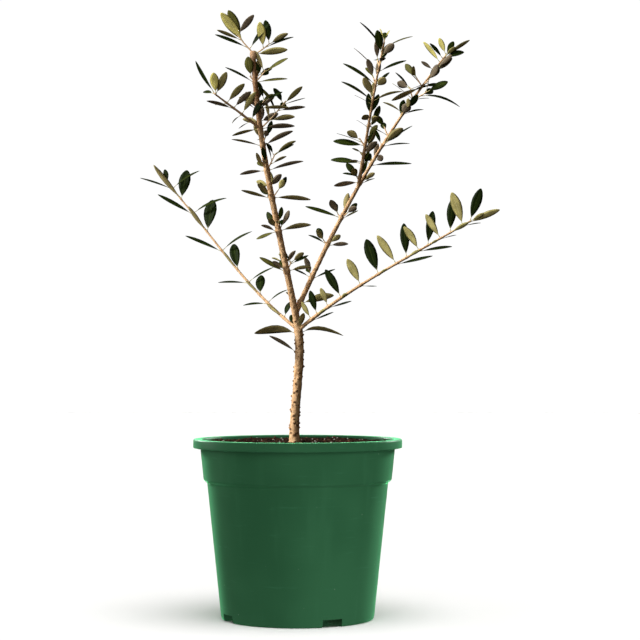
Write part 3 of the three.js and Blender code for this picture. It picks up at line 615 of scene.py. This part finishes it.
def joints_of(name):
    """Where pairs of leaves stand along a limb."""
    return [row[0] for row in PAIRS.get(name, NO_PAIRS)["nodes"]]


# %% [markdown]
# A material's graph is built on a bench too. Each of these functions adds a node that most materials need.

# %% Material helpers
def shader_bench(name):
    material = bpy.data.materials.new(name)
    material.use_nodes = True
    material.node_tree.nodes.clear()
    return material, Bench(material.node_tree)


def finish_material(bench, shader):
    bench.add("ShaderNodeOutputMaterial", {}, {"Surface": shader})


def coordinates(bench):
    return bench.add("ShaderNodeTexCoord")["Object"]


def stretched(bench, vector, scale):
    return bench.add("ShaderNodeMapping", {}, {"Vector": vector, "Scale": scale})["Vector"]


def blend(bench, share, low, high):
    """A colour from low to high by share."""
    return bench.add("ShaderNodeMix", {"data_type": "RGBA"}, {0: share, 6: low, 7: high})[2]


def noise(bench, vector, scale, detail=3.0, roughness=0.55):
    return bench.add("ShaderNodeTexNoise", {}, {
        "Vector": vector, "Scale": scale, "Detail": detail, "Roughness": roughness})["Fac"]


def fact(bench, label):
    """A named value that the mesh carries."""
    return bench.add("ShaderNodeAttribute", {"attribute_name": label})["Fac"]


def surface(bench, colour, roughness, relief=None, specular=0.5, more=None):
    """Ends a material with its surface. relief is a bump's strength, its depth in metres and its height."""
    sockets = {"Base Color": colour, "Roughness": roughness, "Specular IOR Level": specular, **(more or {})}
    if relief:
        sockets["Normal"] = bench.add("ShaderNodeBump", {}, dict(zip(
            ("Strength", "Distance", "Height"), relief)))["Normal"]
    finish_material(bench, bench.add("ShaderNodeBsdfPrincipled", {}, sockets)["BSDF"])


# %% [markdown]
# Young olive bark is smooth and light brown, with pale raised pores and small dark scars where leaves stood.
# An image would need the limb unwrapped. Noise on the object's own coordinates needs nothing. The pores
# are cells of a Voronoi pattern, and each knob has a dark rim. High on the plant the thick leader is painted
# a darker brown, as painted shade from the crown of leaves above it; the thin shoots beside it are not.

# %% Bark material
# painted shade: the darker brown given to the thick leader's bark high up, where the crown of leaves shades
# it
CROWN_SHADE = (0.17, 0.065, 0.028, 1)
CROWN_SHADE_HEIGHTS, CROWN_SHADE_RADII = (0.48, 0.58), (0.0021, 0.0025)


def bark_material(name, light, dark, pore, scar):
    material, bench = shader_bench(name)
    place = coordinates(bench)
    streaks = noise(bench, stretched(bench, place, (1.0, 1.0, 0.35)), 420.0, 5.0)
    patches = noise(bench, place, 90.0, 3.0)
    pores = 1 - cells(bench, stretched(bench, place, (1.0, 1.0, 0.6)), 420.0).step(0.12, 0.3)
    wood = blend(bench, streaks.step(0.45, 0.72) * 0.7 + patches.step(0.5, 0.7) * 0.3, light, dark)
    wood = blend(bench, pores * 0.6, wood, pore)
    height = bench.add("ShaderNodeSeparateXYZ", {}, {"Vector": place})["Z"]
    # painted shade: thick bark high on the plant is darkened as if the crown above shaded it
    crown_shade = height.step(*CROWN_SHADE_HEIGHTS) * fact(bench, "thickness").step(*CROWN_SHADE_RADII)
    wood = blend(bench, crown_shade * 0.6, wood, CROWN_SHADE)
    knob = fact(bench, "knob")
    rim = knob.step(0.02, 0.3) * (1 - knob.step(0.5, 0.9))
    colour = blend(bench, rim * patches.step(0.3, 0.5) * 0.9, wood, scar)
    surface(bench, colour, 0.62 + streaks * 0.25, (0.6, 0.0008, streaks * 0.5 + pores * 0.5), 0.08)
    return material


bark = bark_material("bark", (0.74, 0.47, 0.25, 1), (0.27, 0.12, 0.04, 1), (0.82, 0.62, 0.4, 1),
                     (0.1, 0.035, 0.01, 1))
twig_bark = bark_material("twig_bark", (0.8, 0.55, 0.32, 1), (0.46, 0.25, 0.1, 1), (0.84, 0.68, 0.46, 1),
                          (0.2, 0.1, 0.03, 1))
print("materials:", bark.name, twig_bark.name)

# %% Limbs
limbs = centre_lines("limbs", [stem_line(stem, 2.0, joints_of(name)) for name, stem in stems.items()])
grow(limbs, sweep_tree, {
    "Sides": 28, "Spacing": 0.0008, "Relief": 0.0016, "Warts": 0.0016, "Material": bark})

# %% [markdown]
# The leader was cut off at its top, so a short collar of new bark stands round its end. It goes with the
# side shoots, which have the same young bark.

# %% Twigs and leaf stalks
CUT_END = ((-8, 2.4), (-6, 3.3), (-3, 3.8), (0, 3.5), (1.5, 2.4))
STALK_RADII, STALK_ROOT, STALK_IN_BLADE = (0.55, 0.42, 0.36, 0.18), 0.3, 0.12
tip, tip_way = stems["leader"].at(stems["leader"].length)
cut_end = [(tip + tip_way * rise, radius) for rise, radius in CUT_END]
twigs = centre_lines("twigs", [cut_end] + [stem_line(shoot, 3.0) for shoot in shoots])
grow(twigs, sweep_tree, {
    "Sides": 10, "Spacing": 0.0012, "Relief": 0.0004, "Warts": 0.0002, "Material": twig_bark})


def stalk_line(leaf):
    """A leaf's stalk, from inside the limb to a little way up the blade, and its radii."""
    start = leaf["base"] - (leaf["base"] - leaf["root"]) * STALK_ROOT
    blade = leaf["base"] + leaf["way"] * PETIOLE
    tip = blade + leaf["way"] * (STALK_IN_BLADE * leaf["length"])
    return list(zip((start, leaf["base"].lerp(blade, 0.5), blade, tip), STALK_RADII))


stalk_skin, bench = shader_bench("leaf_stalk")
pale = noise(bench, coordinates(bench), 180.0)
surface(bench, blend(bench, pale.step(0.35, 0.65), (0.45, 0.36, 0.14, 1), (0.3, 0.3, 0.1, 1)),
        0.5 + pale * 0.2)
stalks = centre_lines("leaf_stalks", [stalk_line(leaf) for leaf in leaves])
grow(stalks, sweep_tree, {"Sides": 5, "Spacing": 0.0025, "Material": stalk_skin})

# %% [markdown]
# ## Leaves
# An olive leaf is a narrow leathery blade, dark green above and dull grey-olive beneath, with a pale
# midrib and its length curled back a little. One flat blade is made as a closed pillow of a few dozen faces
# whose points know how far along the leaf they lie (t), how far across (v) and on which side. The tree
# puts one on every leaf point, makes the copies real, and moves each point to its place on its own leaf.

# %% One blade
STATIONS = (0.05, 0.16, 0.3, 0.46, 0.62, 0.77, 0.89, 0.965)
ACROSS = (-1.0, -0.5, 0.0, 0.5, 1.0)


def blade_object():
    """One blade, closed, whose points carry t, v and h: along, across, and 1 above or -1 beneath."""
    points, shares, sides, layers = [], [], [], []

    def point(t, v, h):
        points.append(Vector((t, v, h)))
        shares.append(t)
        sides.append(v)
        layers.append(h)
        return len(points) - 1

    rings = []
    for t in STATIONS:
        top = [point(t, v, 1 - v * v) for v in ACROSS]
        under = [point(t, v, v * v - 1) for v in ACROSS[1:-1]]
        rings.append((top, [top[0], *under, top[-1]]))
    foot, tip = point(0.0, 0.0, 0.0), point(1.0, 0.0, 0.0)
    faces, beneath = [], []
    for (top_a, under_a), (top_b, under_b) in zip(rings, rings[1:]):
        for i in range(len(ACROSS) - 1):
            faces.append((top_a[i], top_b[i], top_b[i + 1], top_a[i + 1]))
            faces.append((under_a[i], under_a[i + 1], under_b[i + 1], under_b[i]))
            beneath += [0.0, 1.0]
    for i in range(len(ACROSS) - 1):
        (top_a, under_a), (top_b, under_b) = rings[0], rings[-1]
        faces.append((foot, top_a[i], top_a[i + 1]))
        faces.append((foot, under_a[i + 1], under_a[i]))
        faces.append((tip, top_b[i + 1], top_b[i]))
        faces.append((tip, under_b[i], under_b[i + 1]))
        beneath += [0.0, 1.0, 0.0, 1.0]
    blade = mesh_object("blade", points, faces=faces, facts={"t": shares, "v": sides, "h": layers})
    marks = blade.data.attributes.new("beneath", "FLOAT", "FACE")
    marks.data.foreach_set("value", beneath)
    return blade


blade = blade_object()
print("a blade has", len(blade.data.polygons), "faces")

# %% [markdown]
# The blade's outline is a sine arch. A power of t moves its widest place, another makes it fuller, and its
# foot is drawn in to the stalk. Then the blade is cupped, swayed sideways and curled back.

# %% A tree that places leaves
TINTS = 4
WIDEST, FULLNESS, FOOT, HALF_WIDTH = 1.15, 0.62, 0.04, 0.53
leaf_tree, bench, given = geometry_tree("leaves", {
    "Blade": "NodeSocketObject", "Stalk": 0.003, "Thickness": 0.00022,
    **{f"Upper {i}": "NodeSocketMaterial" for i in range(TINTS)},
    **{f"Under {i}": "NodeSocketMaterial" for i in range(TINTS)}})
one = bench.add("GeometryNodeObjectInfo", {}, {"Object": given["Blade"]})["Geometry"]
real = copied(bench, given["Geometry"], one)
way, face, base = (named(bench, label, "FLOAT_VECTOR") for label in ("way", "face", "base"))
t, v, h = named(bench, "t"), named(bench, "v"), named(bench, "h")
length, width, curl = named(bench, "length"), named(bench, "width"), named(bench, "curl")
cup, sway = named(bench, "cup"), named(bench, "sway")
bulge = (t ** WIDEST * math.pi).sine()
half = bulge.maths("MAXIMUM", bulge, 0.0) ** FULLNESS * (t / (t + FOOT)) * width * HALF_WIDTH
side = bench.vector("CROSS_PRODUCT", face, way)
place = bench.total(
    base,
    bench.vector("SCALE", way, scale=length * t + given["Stalk"]),
    bench.vector("SCALE", side, scale=half * v + sway * length * t * t),
    bench.vector("SCALE", face, scale=h * given["Thickness"] + cup * half * v * v - curl * length * t * t))
real = moved(bench, real, Position=place)
code = named(bench, "tint") * 2 + named(bench, "beneath")
for i in range(TINTS):
    for layer, label in enumerate(("Upper", "Under")):
        chosen = code.maths("COMPARE", code, 2.0 * i + layer, 0.5)
        real = covered(bench, real, given[f"{label} {i}"], Selection=chosen)
end_tree(bench, real)


# %% Leaf materials
def leaf_material(name, colour, vein, roughness, specular):
    """A leaf's skin: a plain colour with a paler midrib, a darker margin and faint mottling."""
    material, bench = shader_bench(name)
    mottle = noise(bench, coordinates(bench), 130.0, 2.0)
    across, along = fact(bench, "v").size(), fact(bench, "t")
    rib = (1 - across.step(0.02, 0.14)) * (1 - along.step(0.7, 1.0))
    dark, pale, margin = (tuple(c * share for c in colour) + (1,) for share in (0.8, 1.25, 0.45))
    skin = blend(bench, mottle.step(0.3, 0.7), dark, pale)
    skin = blend(bench, across.step(0.72, 1.0) * 0.7, skin, margin)
    surface(bench, blend(bench, rib * 0.5, skin, vein), roughness + mottle * 0.12,
            (0.2, 0.0003, rib * 0.7 + mottle * 0.3), specular)
    return material


upper = [
    leaf_material("leaf_upper_dark", (0.007, 0.014, 0.001), (0.035, 0.05, 0.008, 1), 0.5, 0.05),
    leaf_material("leaf_upper_green", (0.016, 0.026, 0.002), (0.07, 0.085, 0.014, 1), 0.5, 0.05),
    leaf_material("leaf_upper_olive", (0.08, 0.078, 0.015), (0.17, 0.15, 0.045, 1), 0.5, 0.08),
    leaf_material("leaf_upper_young", (0.36, 0.32, 0.07), (0.46, 0.4, 0.13, 1), 0.5, 0.1)]
under = [
    leaf_material("leaf_under_grey", (0.165, 0.128, 0.082), (0.29, 0.235, 0.16, 1), 0.6, 0.1),
    leaf_material("leaf_under_olive", (0.26, 0.215, 0.085), (0.36, 0.3, 0.15, 1), 0.58, 0.1),
    leaf_material("leaf_under_green", (0.32, 0.28, 0.1), (0.42, 0.37, 0.18, 1), 0.56, 0.1),
    leaf_material("leaf_under_young", (0.52, 0.46, 0.13), (0.58, 0.52, 0.25, 1), 0.5, 0.1)]
print("materials:", *(material.name for material in upper + under))

# %% All leaves
MEAN_CUP, CUP_SCATTER, SWAY_SCATTER = 0.12, 0.2, 0.05
CUP_SEED, SWAY_SEED = 7, 8
foliage = mesh_object("leaves", [leaf["base"] * MM for leaf in leaves], facts={
    "base": [leaf["base"] * MM for leaf in leaves],
    "way": [leaf["way"] for leaf in leaves], "face": [leaf["face"] for leaf in leaves],
    "length": [leaf["length"] * MM for leaf in leaves], "width": [leaf["width"] * MM for leaf in leaves],
    "curl": [leaf["curl"] for leaf in leaves], "tint": [float(leaf["tint"]) for leaf in leaves],
    "cup": [MEAN_CUP + CUP_SCATTER * jitter(CUP_SEED, i) for i in range(len(leaves))],
    "sway": [SWAY_SCATTER * jitter(SWAY_SEED, i) for i in range(len(leaves))]})
grow(foliage, leaf_tree, {
    "Blade": blade, "Stalk": PETIOLE * MM,
    **{f"Upper {i}": upper[i] for i in range(TINTS)}, **{f"Under {i}": under[i] for i in range(TINTS)}})
bpy.data.objects.remove(blade)
foliage.data.shade_smooth()

# %% [markdown]
# ## Pot
# The pot is one injection-moulded bucket. Its round form is a profile turned about the upright axis. The
# notches in its foot and the drain holes are then cut with a Boolean modifier, as they would be with a file
# and a drill. Turning in code gives even faces and lets each corner of the profile be rounded.

# %% Turn the pot
POT = {"rim": 112.5, "height": 192.5, "lip": 9.4, "lip_fold": 2, "collar_top": 105.4, "ledge": 145.6,
       "ledge_rise": 3.0, "collar_foot": 101.3, "wall_top": 97.5, "foot": 82.3, "foot_round": 2.3,
       "ring_inner": 52.0, "pad": 18.0, "raise": 8.0, "wall": 2.2}
NOTCH = {"count": 4, "width": 22.5, "turn": -63.2}
DRAIN = {"count": 6, "radius": 5.5, "ring": 36.0}
POT_SEGMENTS, MOST_OF_EDGE = 160, 0.45


def rounded(profile, radius, steps=4):
    """The profile with its inner corners rounded. Each entry is (r, z) or (r, z, own radius)."""
    points = [Vector(p[:2]) for p in profile]
    out = [points[0]]
    for i in range(1, len(points) - 1):
        before, here, after = points[i - 1], points[i], points[i + 1]
        wanted = profile[i][2] if len(profile[i]) > 2 else radius
        reach = min(wanted, *((end - here).length * MOST_OF_EDGE for end in (before, after)))
        a, b = here + (before - here).normalized() * reach, here + (after - here).normalized() * reach
        for k in range(steps + 1):
            s = k / steps
            out.append(a * (1 - s) ** 2 + here * 2 * s * (1 - s) + b * s * s)
    return out + [points[-1]]


def turned(name, profile, segments):
    """A closed form from a profile of (r, z) in mm that starts and ends on the axis."""
    points, rows, faces = [], [], []
    for r, z in profile:
        start, on_axis = len(points), r < 1e-6
        points += [Vector((0, 0, z))] if on_axis else ring_of(r, z, segments)
        rows.append([start] * segments if on_axis else list(range(start, start + segments)))
    for low, high in zip(rows, rows[1:]):
        for i in range(segments):
            j = (i + 1) % segments
            face = tuple(dict.fromkeys((low[i], low[j], high[j], high[i])))
            if len(face) > 2:
                faces.append(face)
    return mesh_object(name, [point * MM for point in points], faces=faces)


P = POT
fold = P["height"] - P["wall"] - P["lip_fold"]
pot_profile = rounded([
    (0, 0), (P["pad"], 0), (P["pad"], P["raise"]), (P["ring_inner"], P["raise"]), (P["ring_inner"], 0),
    (P["foot"] - 0.6, 0, 2.6), (P["foot"] + 0.2, P["foot_round"] + 1),
    (P["wall_top"], P["ledge"], 1.2), (P["collar_foot"], P["ledge"] + P["ledge_rise"], 1.6),
    (P["collar_top"], fold, 1.5), (P["rim"] - P["wall"], fold, 1.0),
    (P["rim"] - P["wall"], P["height"] - P["lip"], 0.8), (P["rim"], P["height"] - P["lip"], 0.8),
    (P["rim"], P["height"], 1.8), (P["collar_top"] - P["wall"], P["height"], 1.8),
    (P["collar_foot"] - P["wall"], P["ledge"] + P["ledge_rise"], 1.0),
    (P["wall_top"] - P["wall"], P["ledge"], 1.0), (P["foot"] - P["wall"], P["raise"] + P["wall"], 2.0),
    (0, P["raise"] + P["wall"])], 0.5)
pot = turned("pot_shell", pot_profile, POT_SEGMENTS)
print("the pot's profile has", len(pot_profile), "points")


# %% Cut the notches and drain holes
def box_points(width, depth, height, centre, spin):
    """The corners of a box in mm, turned about the upright axis."""
    corners = [Vector((sx * width / 2, sy * depth / 2, sz * height / 2)) + centre
               for sz in (-1, 1) for sy in (-1, 1) for sx in (-1, 1)]
    return [Matrix.Rotation(spin, 3, "Z") @ corner * MM for corner in corners]


BOX_FACES = ((0, 2, 3, 1), (4, 5, 7, 6), (0, 1, 5, 4), (2, 6, 7, 3), (0, 4, 6, 2), (1, 3, 7, 5))
CUT_MARGIN, SHARP_DEGREES = 4, 38
cut_points, cut_faces = [], []
reach = POT["foot"] + CUT_MARGIN - POT["ring_inner"]
for i in range(NOTCH["count"]):
    spin = math.radians(NOTCH["turn"] + 360 * i / NOTCH["count"])
    centre = Vector((0, -(POT["ring_inner"] - 2 + reach / 2), (POT["raise"] - 1) / 2))
    start = len(cut_points)
    cut_points += box_points(NOTCH["width"], reach, POT["raise"] + 1, centre, spin)
    cut_faces += [tuple(start + c for c in face) for face in BOX_FACES]
for i in range(DRAIN["count"]):
    a = 2 * math.pi * (i + 0.5) / DRAIN["count"]
    start, sides = len(cut_points), 24
    for z in (-POT["wall"], 2 * POT["wall"]):
        for k in range(sides):
            b = 2 * math.pi * k / sides
            cut_points.append(Vector((
                DRAIN["ring"] * math.cos(a) + DRAIN["radius"] * math.cos(b),
                DRAIN["ring"] * math.sin(a) + DRAIN["radius"] * math.sin(b), POT["raise"] + z)) * MM)
    cut_faces.append(tuple(start + k for k in reversed(range(sides))))
    cut_faces.append(tuple(start + sides + k for k in range(sides)))
    cut_faces += [(start + k, start + (k + 1) % sides, start + sides + (k + 1) % sides, start + sides + k)
                  for k in range(sides)]
cutter = mesh_object("cutter", cut_points, faces=cut_faces)
cut = pot.modifiers.new("Cut", "BOOLEAN")
cut.operation, cut.object, cut.solver = "DIFFERENCE", cutter, "EXACT"
plain_mesh(pot)
bpy.data.objects.remove(cutter)
pot.data.shade_smooth()
pot.data.set_sharp_from_angle(angle=math.radians(SHARP_DEGREES))

# %% [markdown]
# The plastic is a dark green with faint flow marks, scuffs and specks of dust. Its grazing edges shine a
# bright green, because thin moulded plastic lets some light through and scatters it. A transparent shader
# would have to be traced through the wall, so a green sheen on an opaque skin stands in for it.

# %% Pot material
pot_skin, bench = shader_bench("pot_plastic")
place = coordinates(bench)
cloud = noise(bench, place, 9.0, 2.0)
flow = noise(bench, stretched(bench, place, (1.0, 1.0, 0.12)), 60.0, 4.0)
grain = noise(bench, place, 900.0, 2.0)
dust = 1 - cells(bench, place, 60.0).step(0.02, 0.05)
scuffs = noise(bench, stretched(bench, place, (1.0, 1.0, 14.0)), 26.0, 5.0, 0.6)
green = blend(bench, cloud.step(0.35, 0.65), (0.026, 0.108, 0.048, 1), (0.033, 0.13, 0.059, 1))
green = blend(bench, flow.step(0.5, 0.8) * 0.3, green, (0.042, 0.155, 0.074, 1))
green = blend(bench, scuffs.step(0.6, 0.75) * 0.3, green, (0.05, 0.19, 0.1, 1))
green = blend(bench, dust * 0.5, green, (0.2, 0.3, 0.22, 1))
surface(bench, green, 0.3 + flow * 0.12, (0.12, 0.0004, grain * 0.5 + flow), 0.02, {
    "Specular Tint": (0.25, 1.0, 0.45, 1), "Sheen Weight": 1.0, "Sheen Roughness": 0.22,
    "Sheen Tint": (0.25, 1.0, 0.46, 1)})
pot.data.materials.clear()
pot.data.materials.append(pot_skin)
print("material:", pot_skin.name)

# %% [markdown]
# ## Soil
# Potting compost is a dark heap of crumbs with chips of bark and a few white perlite grains. A turned body
# with an uneven top fills the pot, and crumbs are scattered over it: points dealt out over the top by a
# seeded rule, a small faceted lump on each, turned and scaled at random.

# %% Soil body
SOIL_TOP, SOIL_RINGS, SOIL_SEGMENTS = 188.4, 26, 120
SOIL_GAP, CRUMB_MARGIN = 0.3, 3.5
BANK, BANK_POWER, BROAD_WAVE, SHORT_WAVE = 1.5, 6, 0.7, 0.4


def soil_height(x, y):
    """How far the soil's top stands above its mean level, in mm: low waves, and a bank along the wall."""
    bank = BANK * (math.hypot(x, y) / POT["collar_top"]) ** BANK_POWER
    broad = BROAD_WAVE * math.sin(x / 13 + 1.3) * math.sin(y / 17 + 0.4)
    return bank + broad + SHORT_WAVE * (math.sin(x / 5.1 + y / 6.7) + math.sin(x / 8.3 - y / 4.9 + 2.0))


def soil_surface(radius):
    """The points of the uneven top, ring after ring out to a radius, in mm."""
    flat = [p for k in range(1, SOIL_RINGS + 1) for p in ring_of(radius * k / SOIL_RINGS, 0, SOIL_SEGMENTS)]
    return [Vector((p.x, p.y, SOIL_TOP + soil_height(p.x, p.y))) for p in flat]


def soil_body():
    """The soil as one closed mesh: a point in the middle, the top, two rings down the wall, and a foot."""
    gap = POT["wall"] + SOIL_GAP
    points = [Vector((0, 0, SOIL_TOP + soil_height(0, 0))), *soil_surface(POT["collar_top"] - gap - 1)]
    for radius, z in ((POT["wall_top"] - gap, POT["ledge"]), (POT["foot"] - gap, POT["raise"] + gap)):
        points += ring_of(radius, z, SOIL_SEGMENTS)
    points.append(Vector((0, 0, POT["raise"] + gap)))
    foot = len(points) - 1
    last_ring = foot - SOIL_SEGMENTS
    faces = bands(SOIL_RINGS + 2, SOIL_SEGMENTS, first=1)
    for i in range(SOIL_SEGMENTS):
        j = (i + 1) % SOIL_SEGMENTS
        faces += [(0, 1 + i, 1 + j), (last_ring + i, foot, last_ring + j)]
    return mesh_object("soil_bed", [point * MM for point in points], faces=faces)


soil_bed = soil_body()
print("the soil has", len(soil_bed.data.polygons), "faces")

# %% Soil material
soil_skin, bench = shader_bench("compost")
place = coordinates(bench)
clumps = noise(bench, place, 160.0, 5.0, 0.7)
fine = noise(bench, place, 700.0, 3.0)
earth = blend(bench, clumps.step(0.35, 0.7), (0.005, 0.0025, 0.0015, 1), (0.05, 0.022, 0.011, 1))
surface(bench, earth, 0.85 + fine * 0.1, (0.9, 0.0015, clumps + fine * 0.4), 0.08)
soil_bed.data.materials.append(soil_skin)


def plain_skin(name, colour, other, scale, roughness):
    """A matt material with spots of another colour."""
    material, bench = shader_bench(name)
    spots = noise(bench, coordinates(bench), scale)
    surface(bench, blend(bench, spots.step(0.35, 0.65), colour, other), roughness + spots * 0.1,
            (0.6, 0.0004, spots), 0.1)
    return material


perlite = plain_skin("perlite", (0.55, 0.53, 0.47, 1), (0.32, 0.3, 0.25, 1), 500.0, 0.8)
chips = plain_skin("bark_chips", (0.13, 0.06, 0.03, 1), (0.03, 0.014, 0.008, 1), 300.0, 0.8)
print("materials:", soil_skin.name, perlite.name, chips.name)

# %% A tree that scatters crumbs
SMALLEST, LARGEST, FLATTEST, FULL_TURN, SQUASH_SEED = 0.45, 1.6, 0.45, 6.28, 7
WOBBLE_SCALE, WOBBLE = 900.0, 1.1
crumb_tree, bench, given = geometry_tree("crumbs", {
    "Spacing": 0.003, "Density": 100000.0, "Size": 0.001, "Long": 1.0, "Sink": 0.0005, "Seed": 1,
    "Material": "NodeSocketMaterial"})
points = bench.add("GeometryNodeDistributePointsOnFaces", {"distribute_method": "POISSON"}, {
    "Mesh": given["Geometry"], "Distance Min": given["Spacing"], "Density Max": given["Density"],
    "Seed": given["Seed"]})["Points"]
lump = bench.add("GeometryNodeMeshIcoSphere", {}, {"Radius": 1.0, "Subdivisions": 1})["Mesh"]
spin = bench.add("FunctionNodeRandomValue", {"data_type": "FLOAT_VECTOR"}, {
    "Min": (0.0,) * 3, "Max": (FULL_TURN,) * 3, "Seed": given["Seed"]})["Value"]
draw = bench.add("FunctionNodeRandomValue", {"data_type": "FLOAT"}, {
    2: SMALLEST, 3: LARGEST, "Seed": given["Seed"]})[1]
squash = bench.add("FunctionNodeRandomValue", {"data_type": "FLOAT"}, {
    2: FLATTEST, 3: 1.0, "Seed": given["Seed"] + SQUASH_SEED})[1]
size = draw * given["Size"]
scale = bench.add("ShaderNodeCombineXYZ", {}, {
    "X": size * given["Long"], "Y": size, "Z": size * squash})["Vector"]
real = copied(bench, points, lump, Rotation=spin, Scale=scale)
here = bench.add("GeometryNodeInputPosition")["Position"]
wobble = bench.add("ShaderNodeTexNoise", {}, {"Vector": here, "Scale": WOBBLE_SCALE, "Detail": 1.0})["Color"]
wobble = bench.vector("SUBTRACT", wobble, (0.5, 0.5, 0.5))
sunk = bench.add("ShaderNodeCombineXYZ", {}, {"Z": 0 - given["Sink"]})["Vector"]
real = moved(bench, real, Offset=bench.total(
    bench.vector("SCALE", wobble, scale=given["Size"] * WOBBLE), sunk))
end_tree(bench, covered(bench, real, given["Material"]))


# %% Scatter the crumbs
def soil_top(name):
    """The uneven top of the soil as a mesh of its own, a little inside the wall."""
    radius = POT["collar_top"] - POT["wall"] - CRUMB_MARGIN
    return mesh_object(name, [point * MM for point in soil_surface(radius)],
                       faces=bands(SOIL_RINGS, SOIL_SEGMENTS))


crumbs = grow(soil_top("soil_crumbs"), crumb_tree, {
    "Spacing": 0.0021, "Size": 0.0011, "Seed": 3, "Material": soil_skin})
bark_chips = grow(soil_top("soil_bark_chips"), crumb_tree, {
    "Spacing": 0.007, "Density": 9000.0, "Size": 0.0011, "Long": 2.2, "Sink": 0.0008, "Seed": 11,
    "Material": chips})
grains = grow(soil_top("perlite_grains"), crumb_tree, {
    "Spacing": 0.009, "Density": 2600.0, "Size": 0.00075, "Long": 1.2, "Sink": 0.0, "Seed": 23,
    "Material": perlite})

# %% [markdown]
# ## Putting the pieces on the frame
# Each new piece rides on the plant's one body. The solids that the limbs, the leaves, the pot and the soil
# replace are hidden; twigs, stalks and crumbs are added to them.

# %% Pieces and the solids they replace
nodes = list(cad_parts)
masses = [name for name in nodes if "_foliage_" in name]
for piece, slot in ((limbs, "bark"), (twigs, "bark"), (stalks, "foliage"), (foliage, "foliage"),
                    (pot, "pot_plastic"), (soil_bed, "potting_soil"), (crumbs, "potting_soil"),
                    (bark_chips, "potting_soil"), (grains, "potting_soil")):
    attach(piece, "root")
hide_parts(*[name for name in nodes if name in LIMBS])
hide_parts(*masses)
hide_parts("pot")
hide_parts("soil")
print(len(LIMBS), "limbs and", len(masses), "masses of foliage are replaced, with the pot and the soil")

# %% [markdown]
# ## Studio
# The floor is a pale sheet inside a white dome. Both are seen by the camera but send no light back, as if
# they stood far off, so the shadow side of the bark stays dark. The plant has one soft key light high on
# the left, a weak fill for its leaves and a pale sky on that side. The pot shows best with light that
# grazes it from behind on both sides, and that would spoil the plant. So each lamp is kept to its own
# subject by light linking, as a studio does with flags. One pot lamp shines from below, through the floor,
# and lifts the dark undersides of the lip and the ledge. Every lamp is a sun, so only its direction counts.

# %% Floor and dome
STAGE_RADIUS, STAGE_SEGMENTS, FLOOR_DROP = 8.0, 64, 0.0003
DOME_DEGREES = range(-45, 90, 15)


def paper_skin(name, shader_kind, colour_socket, others):
    material, bench = shader_bench(name)
    sheet = blend(bench, noise(bench, coordinates(bench), 3.0), (0.9, 0.9, 0.9, 1), (0.93, 0.93, 0.93, 1))
    finish_material(bench, bench.add(shader_kind, {}, {colour_socket: sheet, **others})[0])
    return material


def seen_only(thing, skin):
    """Keeps thing in the picture but out of the light that bounces."""
    thing.data.materials.append(skin)
    thing.visible_diffuse = thing.visible_glossy = thing.visible_shadow = False


floor = mesh_object("floor", ring_of(STAGE_RADIUS, -FLOOR_DROP, STAGE_SEGMENTS),
                    faces=[tuple(range(STAGE_SEGMENTS))])
seen_only(floor, paper_skin("floor_paper", "ShaderNodeBsdfPrincipled", "Base Color", {"Roughness": 0.9}))
dome_rings = [ring_of(STAGE_RADIUS * math.cos(a), STAGE_RADIUS * math.sin(a), STAGE_SEGMENTS)
              for a in map(math.radians, DOME_DEGREES)]
dome_points = [point for ring in dome_rings for point in ring]
cap = tuple(reversed(range(len(dome_points) - STAGE_SEGMENTS, len(dome_points))))
dome = mesh_object("dome", dome_points, faces=[*bands(len(dome_rings), STAGE_SEGMENTS), cap])
seen_only(dome, paper_skin("dome_paper", "ShaderNodeEmission", "Color", {"Strength": 1.12}))
print("the stage is", STAGE_RADIUS, "m in radius")

# %% Sky
BRIGHT_SIDE = (-0.72, -0.45, 0.53)
DARK_SKY, BRIGHT_SKY = 0.035, 0.5
world = bpy.data.worlds.new("studio")
world.use_nodes = True
world.node_tree.nodes.clear()
bench = Bench(world.node_tree)
look = bench.add("ShaderNodeTexCoord")["Generated"]
from_left = bench.add("ShaderNodeVectorMath", {"operation": "DOT_PRODUCT"}, {
    0: look, 1: BRIGHT_SIDE})["Value"]
warmth = blend(bench, from_left.step(0.1, 0.7), (1.0, 0.7, 0.42, 1), (1.0, 0.985, 0.96, 1))
sky = bench.add("ShaderNodeBackground", {}, {
    "Color": warmth, "Strength": DARK_SKY + from_left.step(0.1, 0.95) * BRIGHT_SKY})["Background"]
bench.add("ShaderNodeOutputWorld", {}, {"Surface": sky})
bpy.context.scene.world = world
bpy.context.scene.view_settings.view_transform = "Standard"
print("the sky is", BRIGHT_SKY + DARK_SKY, "on its bright side and", DARK_SKY, "on its dark side")


# %% Lamps
def sun(name, place, power, spread, subjects):
    """A far lamp in the direction of place that lights only its subjects. spread is in degrees."""
    data = bpy.data.lights.new(name, "SUN")
    data.energy, data.angle = power, math.radians(spread)
    light = bpy.data.objects.new(name, data)
    light.location = place
    light.rotation_euler = (Vector() - Vector(place)).to_track_quat("-Z", "Y").to_euler()
    bpy.context.scene.collection.objects.link(light)
    lit = bpy.data.collections.new(name + "_subjects")
    for subject in subjects:
        lit.objects.link(subject)
    light.light_linking.receiver_collection = lit


plant = [limbs, twigs, stalks, foliage, soil_bed, crumbs, bark_chips, grains]
for name, place, power, spread, subjects in (
        ("key", (-2.0, -0.45, 1.5), 5.2, 12, plant),
        ("leaf_fill", (-0.7, -2.0, 0.9), 1.3, 50, [foliage, stalks, twigs]),
        ("floor_wash", (0.3, -0.5, 2.0), 3.2, 60, [floor]),
        ("pot_front", (1.1, -1.2, 0.5), 1.35, 30, [pot]),
        ("pot_below", (1.0, -1.1, -1.6), 1.5, 12, [pot]),
        ("pot_side", (-1.95, 0.7, 0.3), 2.1, 30, [pot]),
        ("pot_left", (-1.12, 1.66, 0.7), 4.2, 12, [pot]),
        ("pot_right", (1.3, 1.53, 0.7), 5.6, 12, [pot]),
        ("pot_top", (0.2, 0.1, 1.6), 1.6, 30, [pot])):
    sun(name, place, power, spread, subjects)
    print("lamp", name, "lights", len(subjects), "pieces")
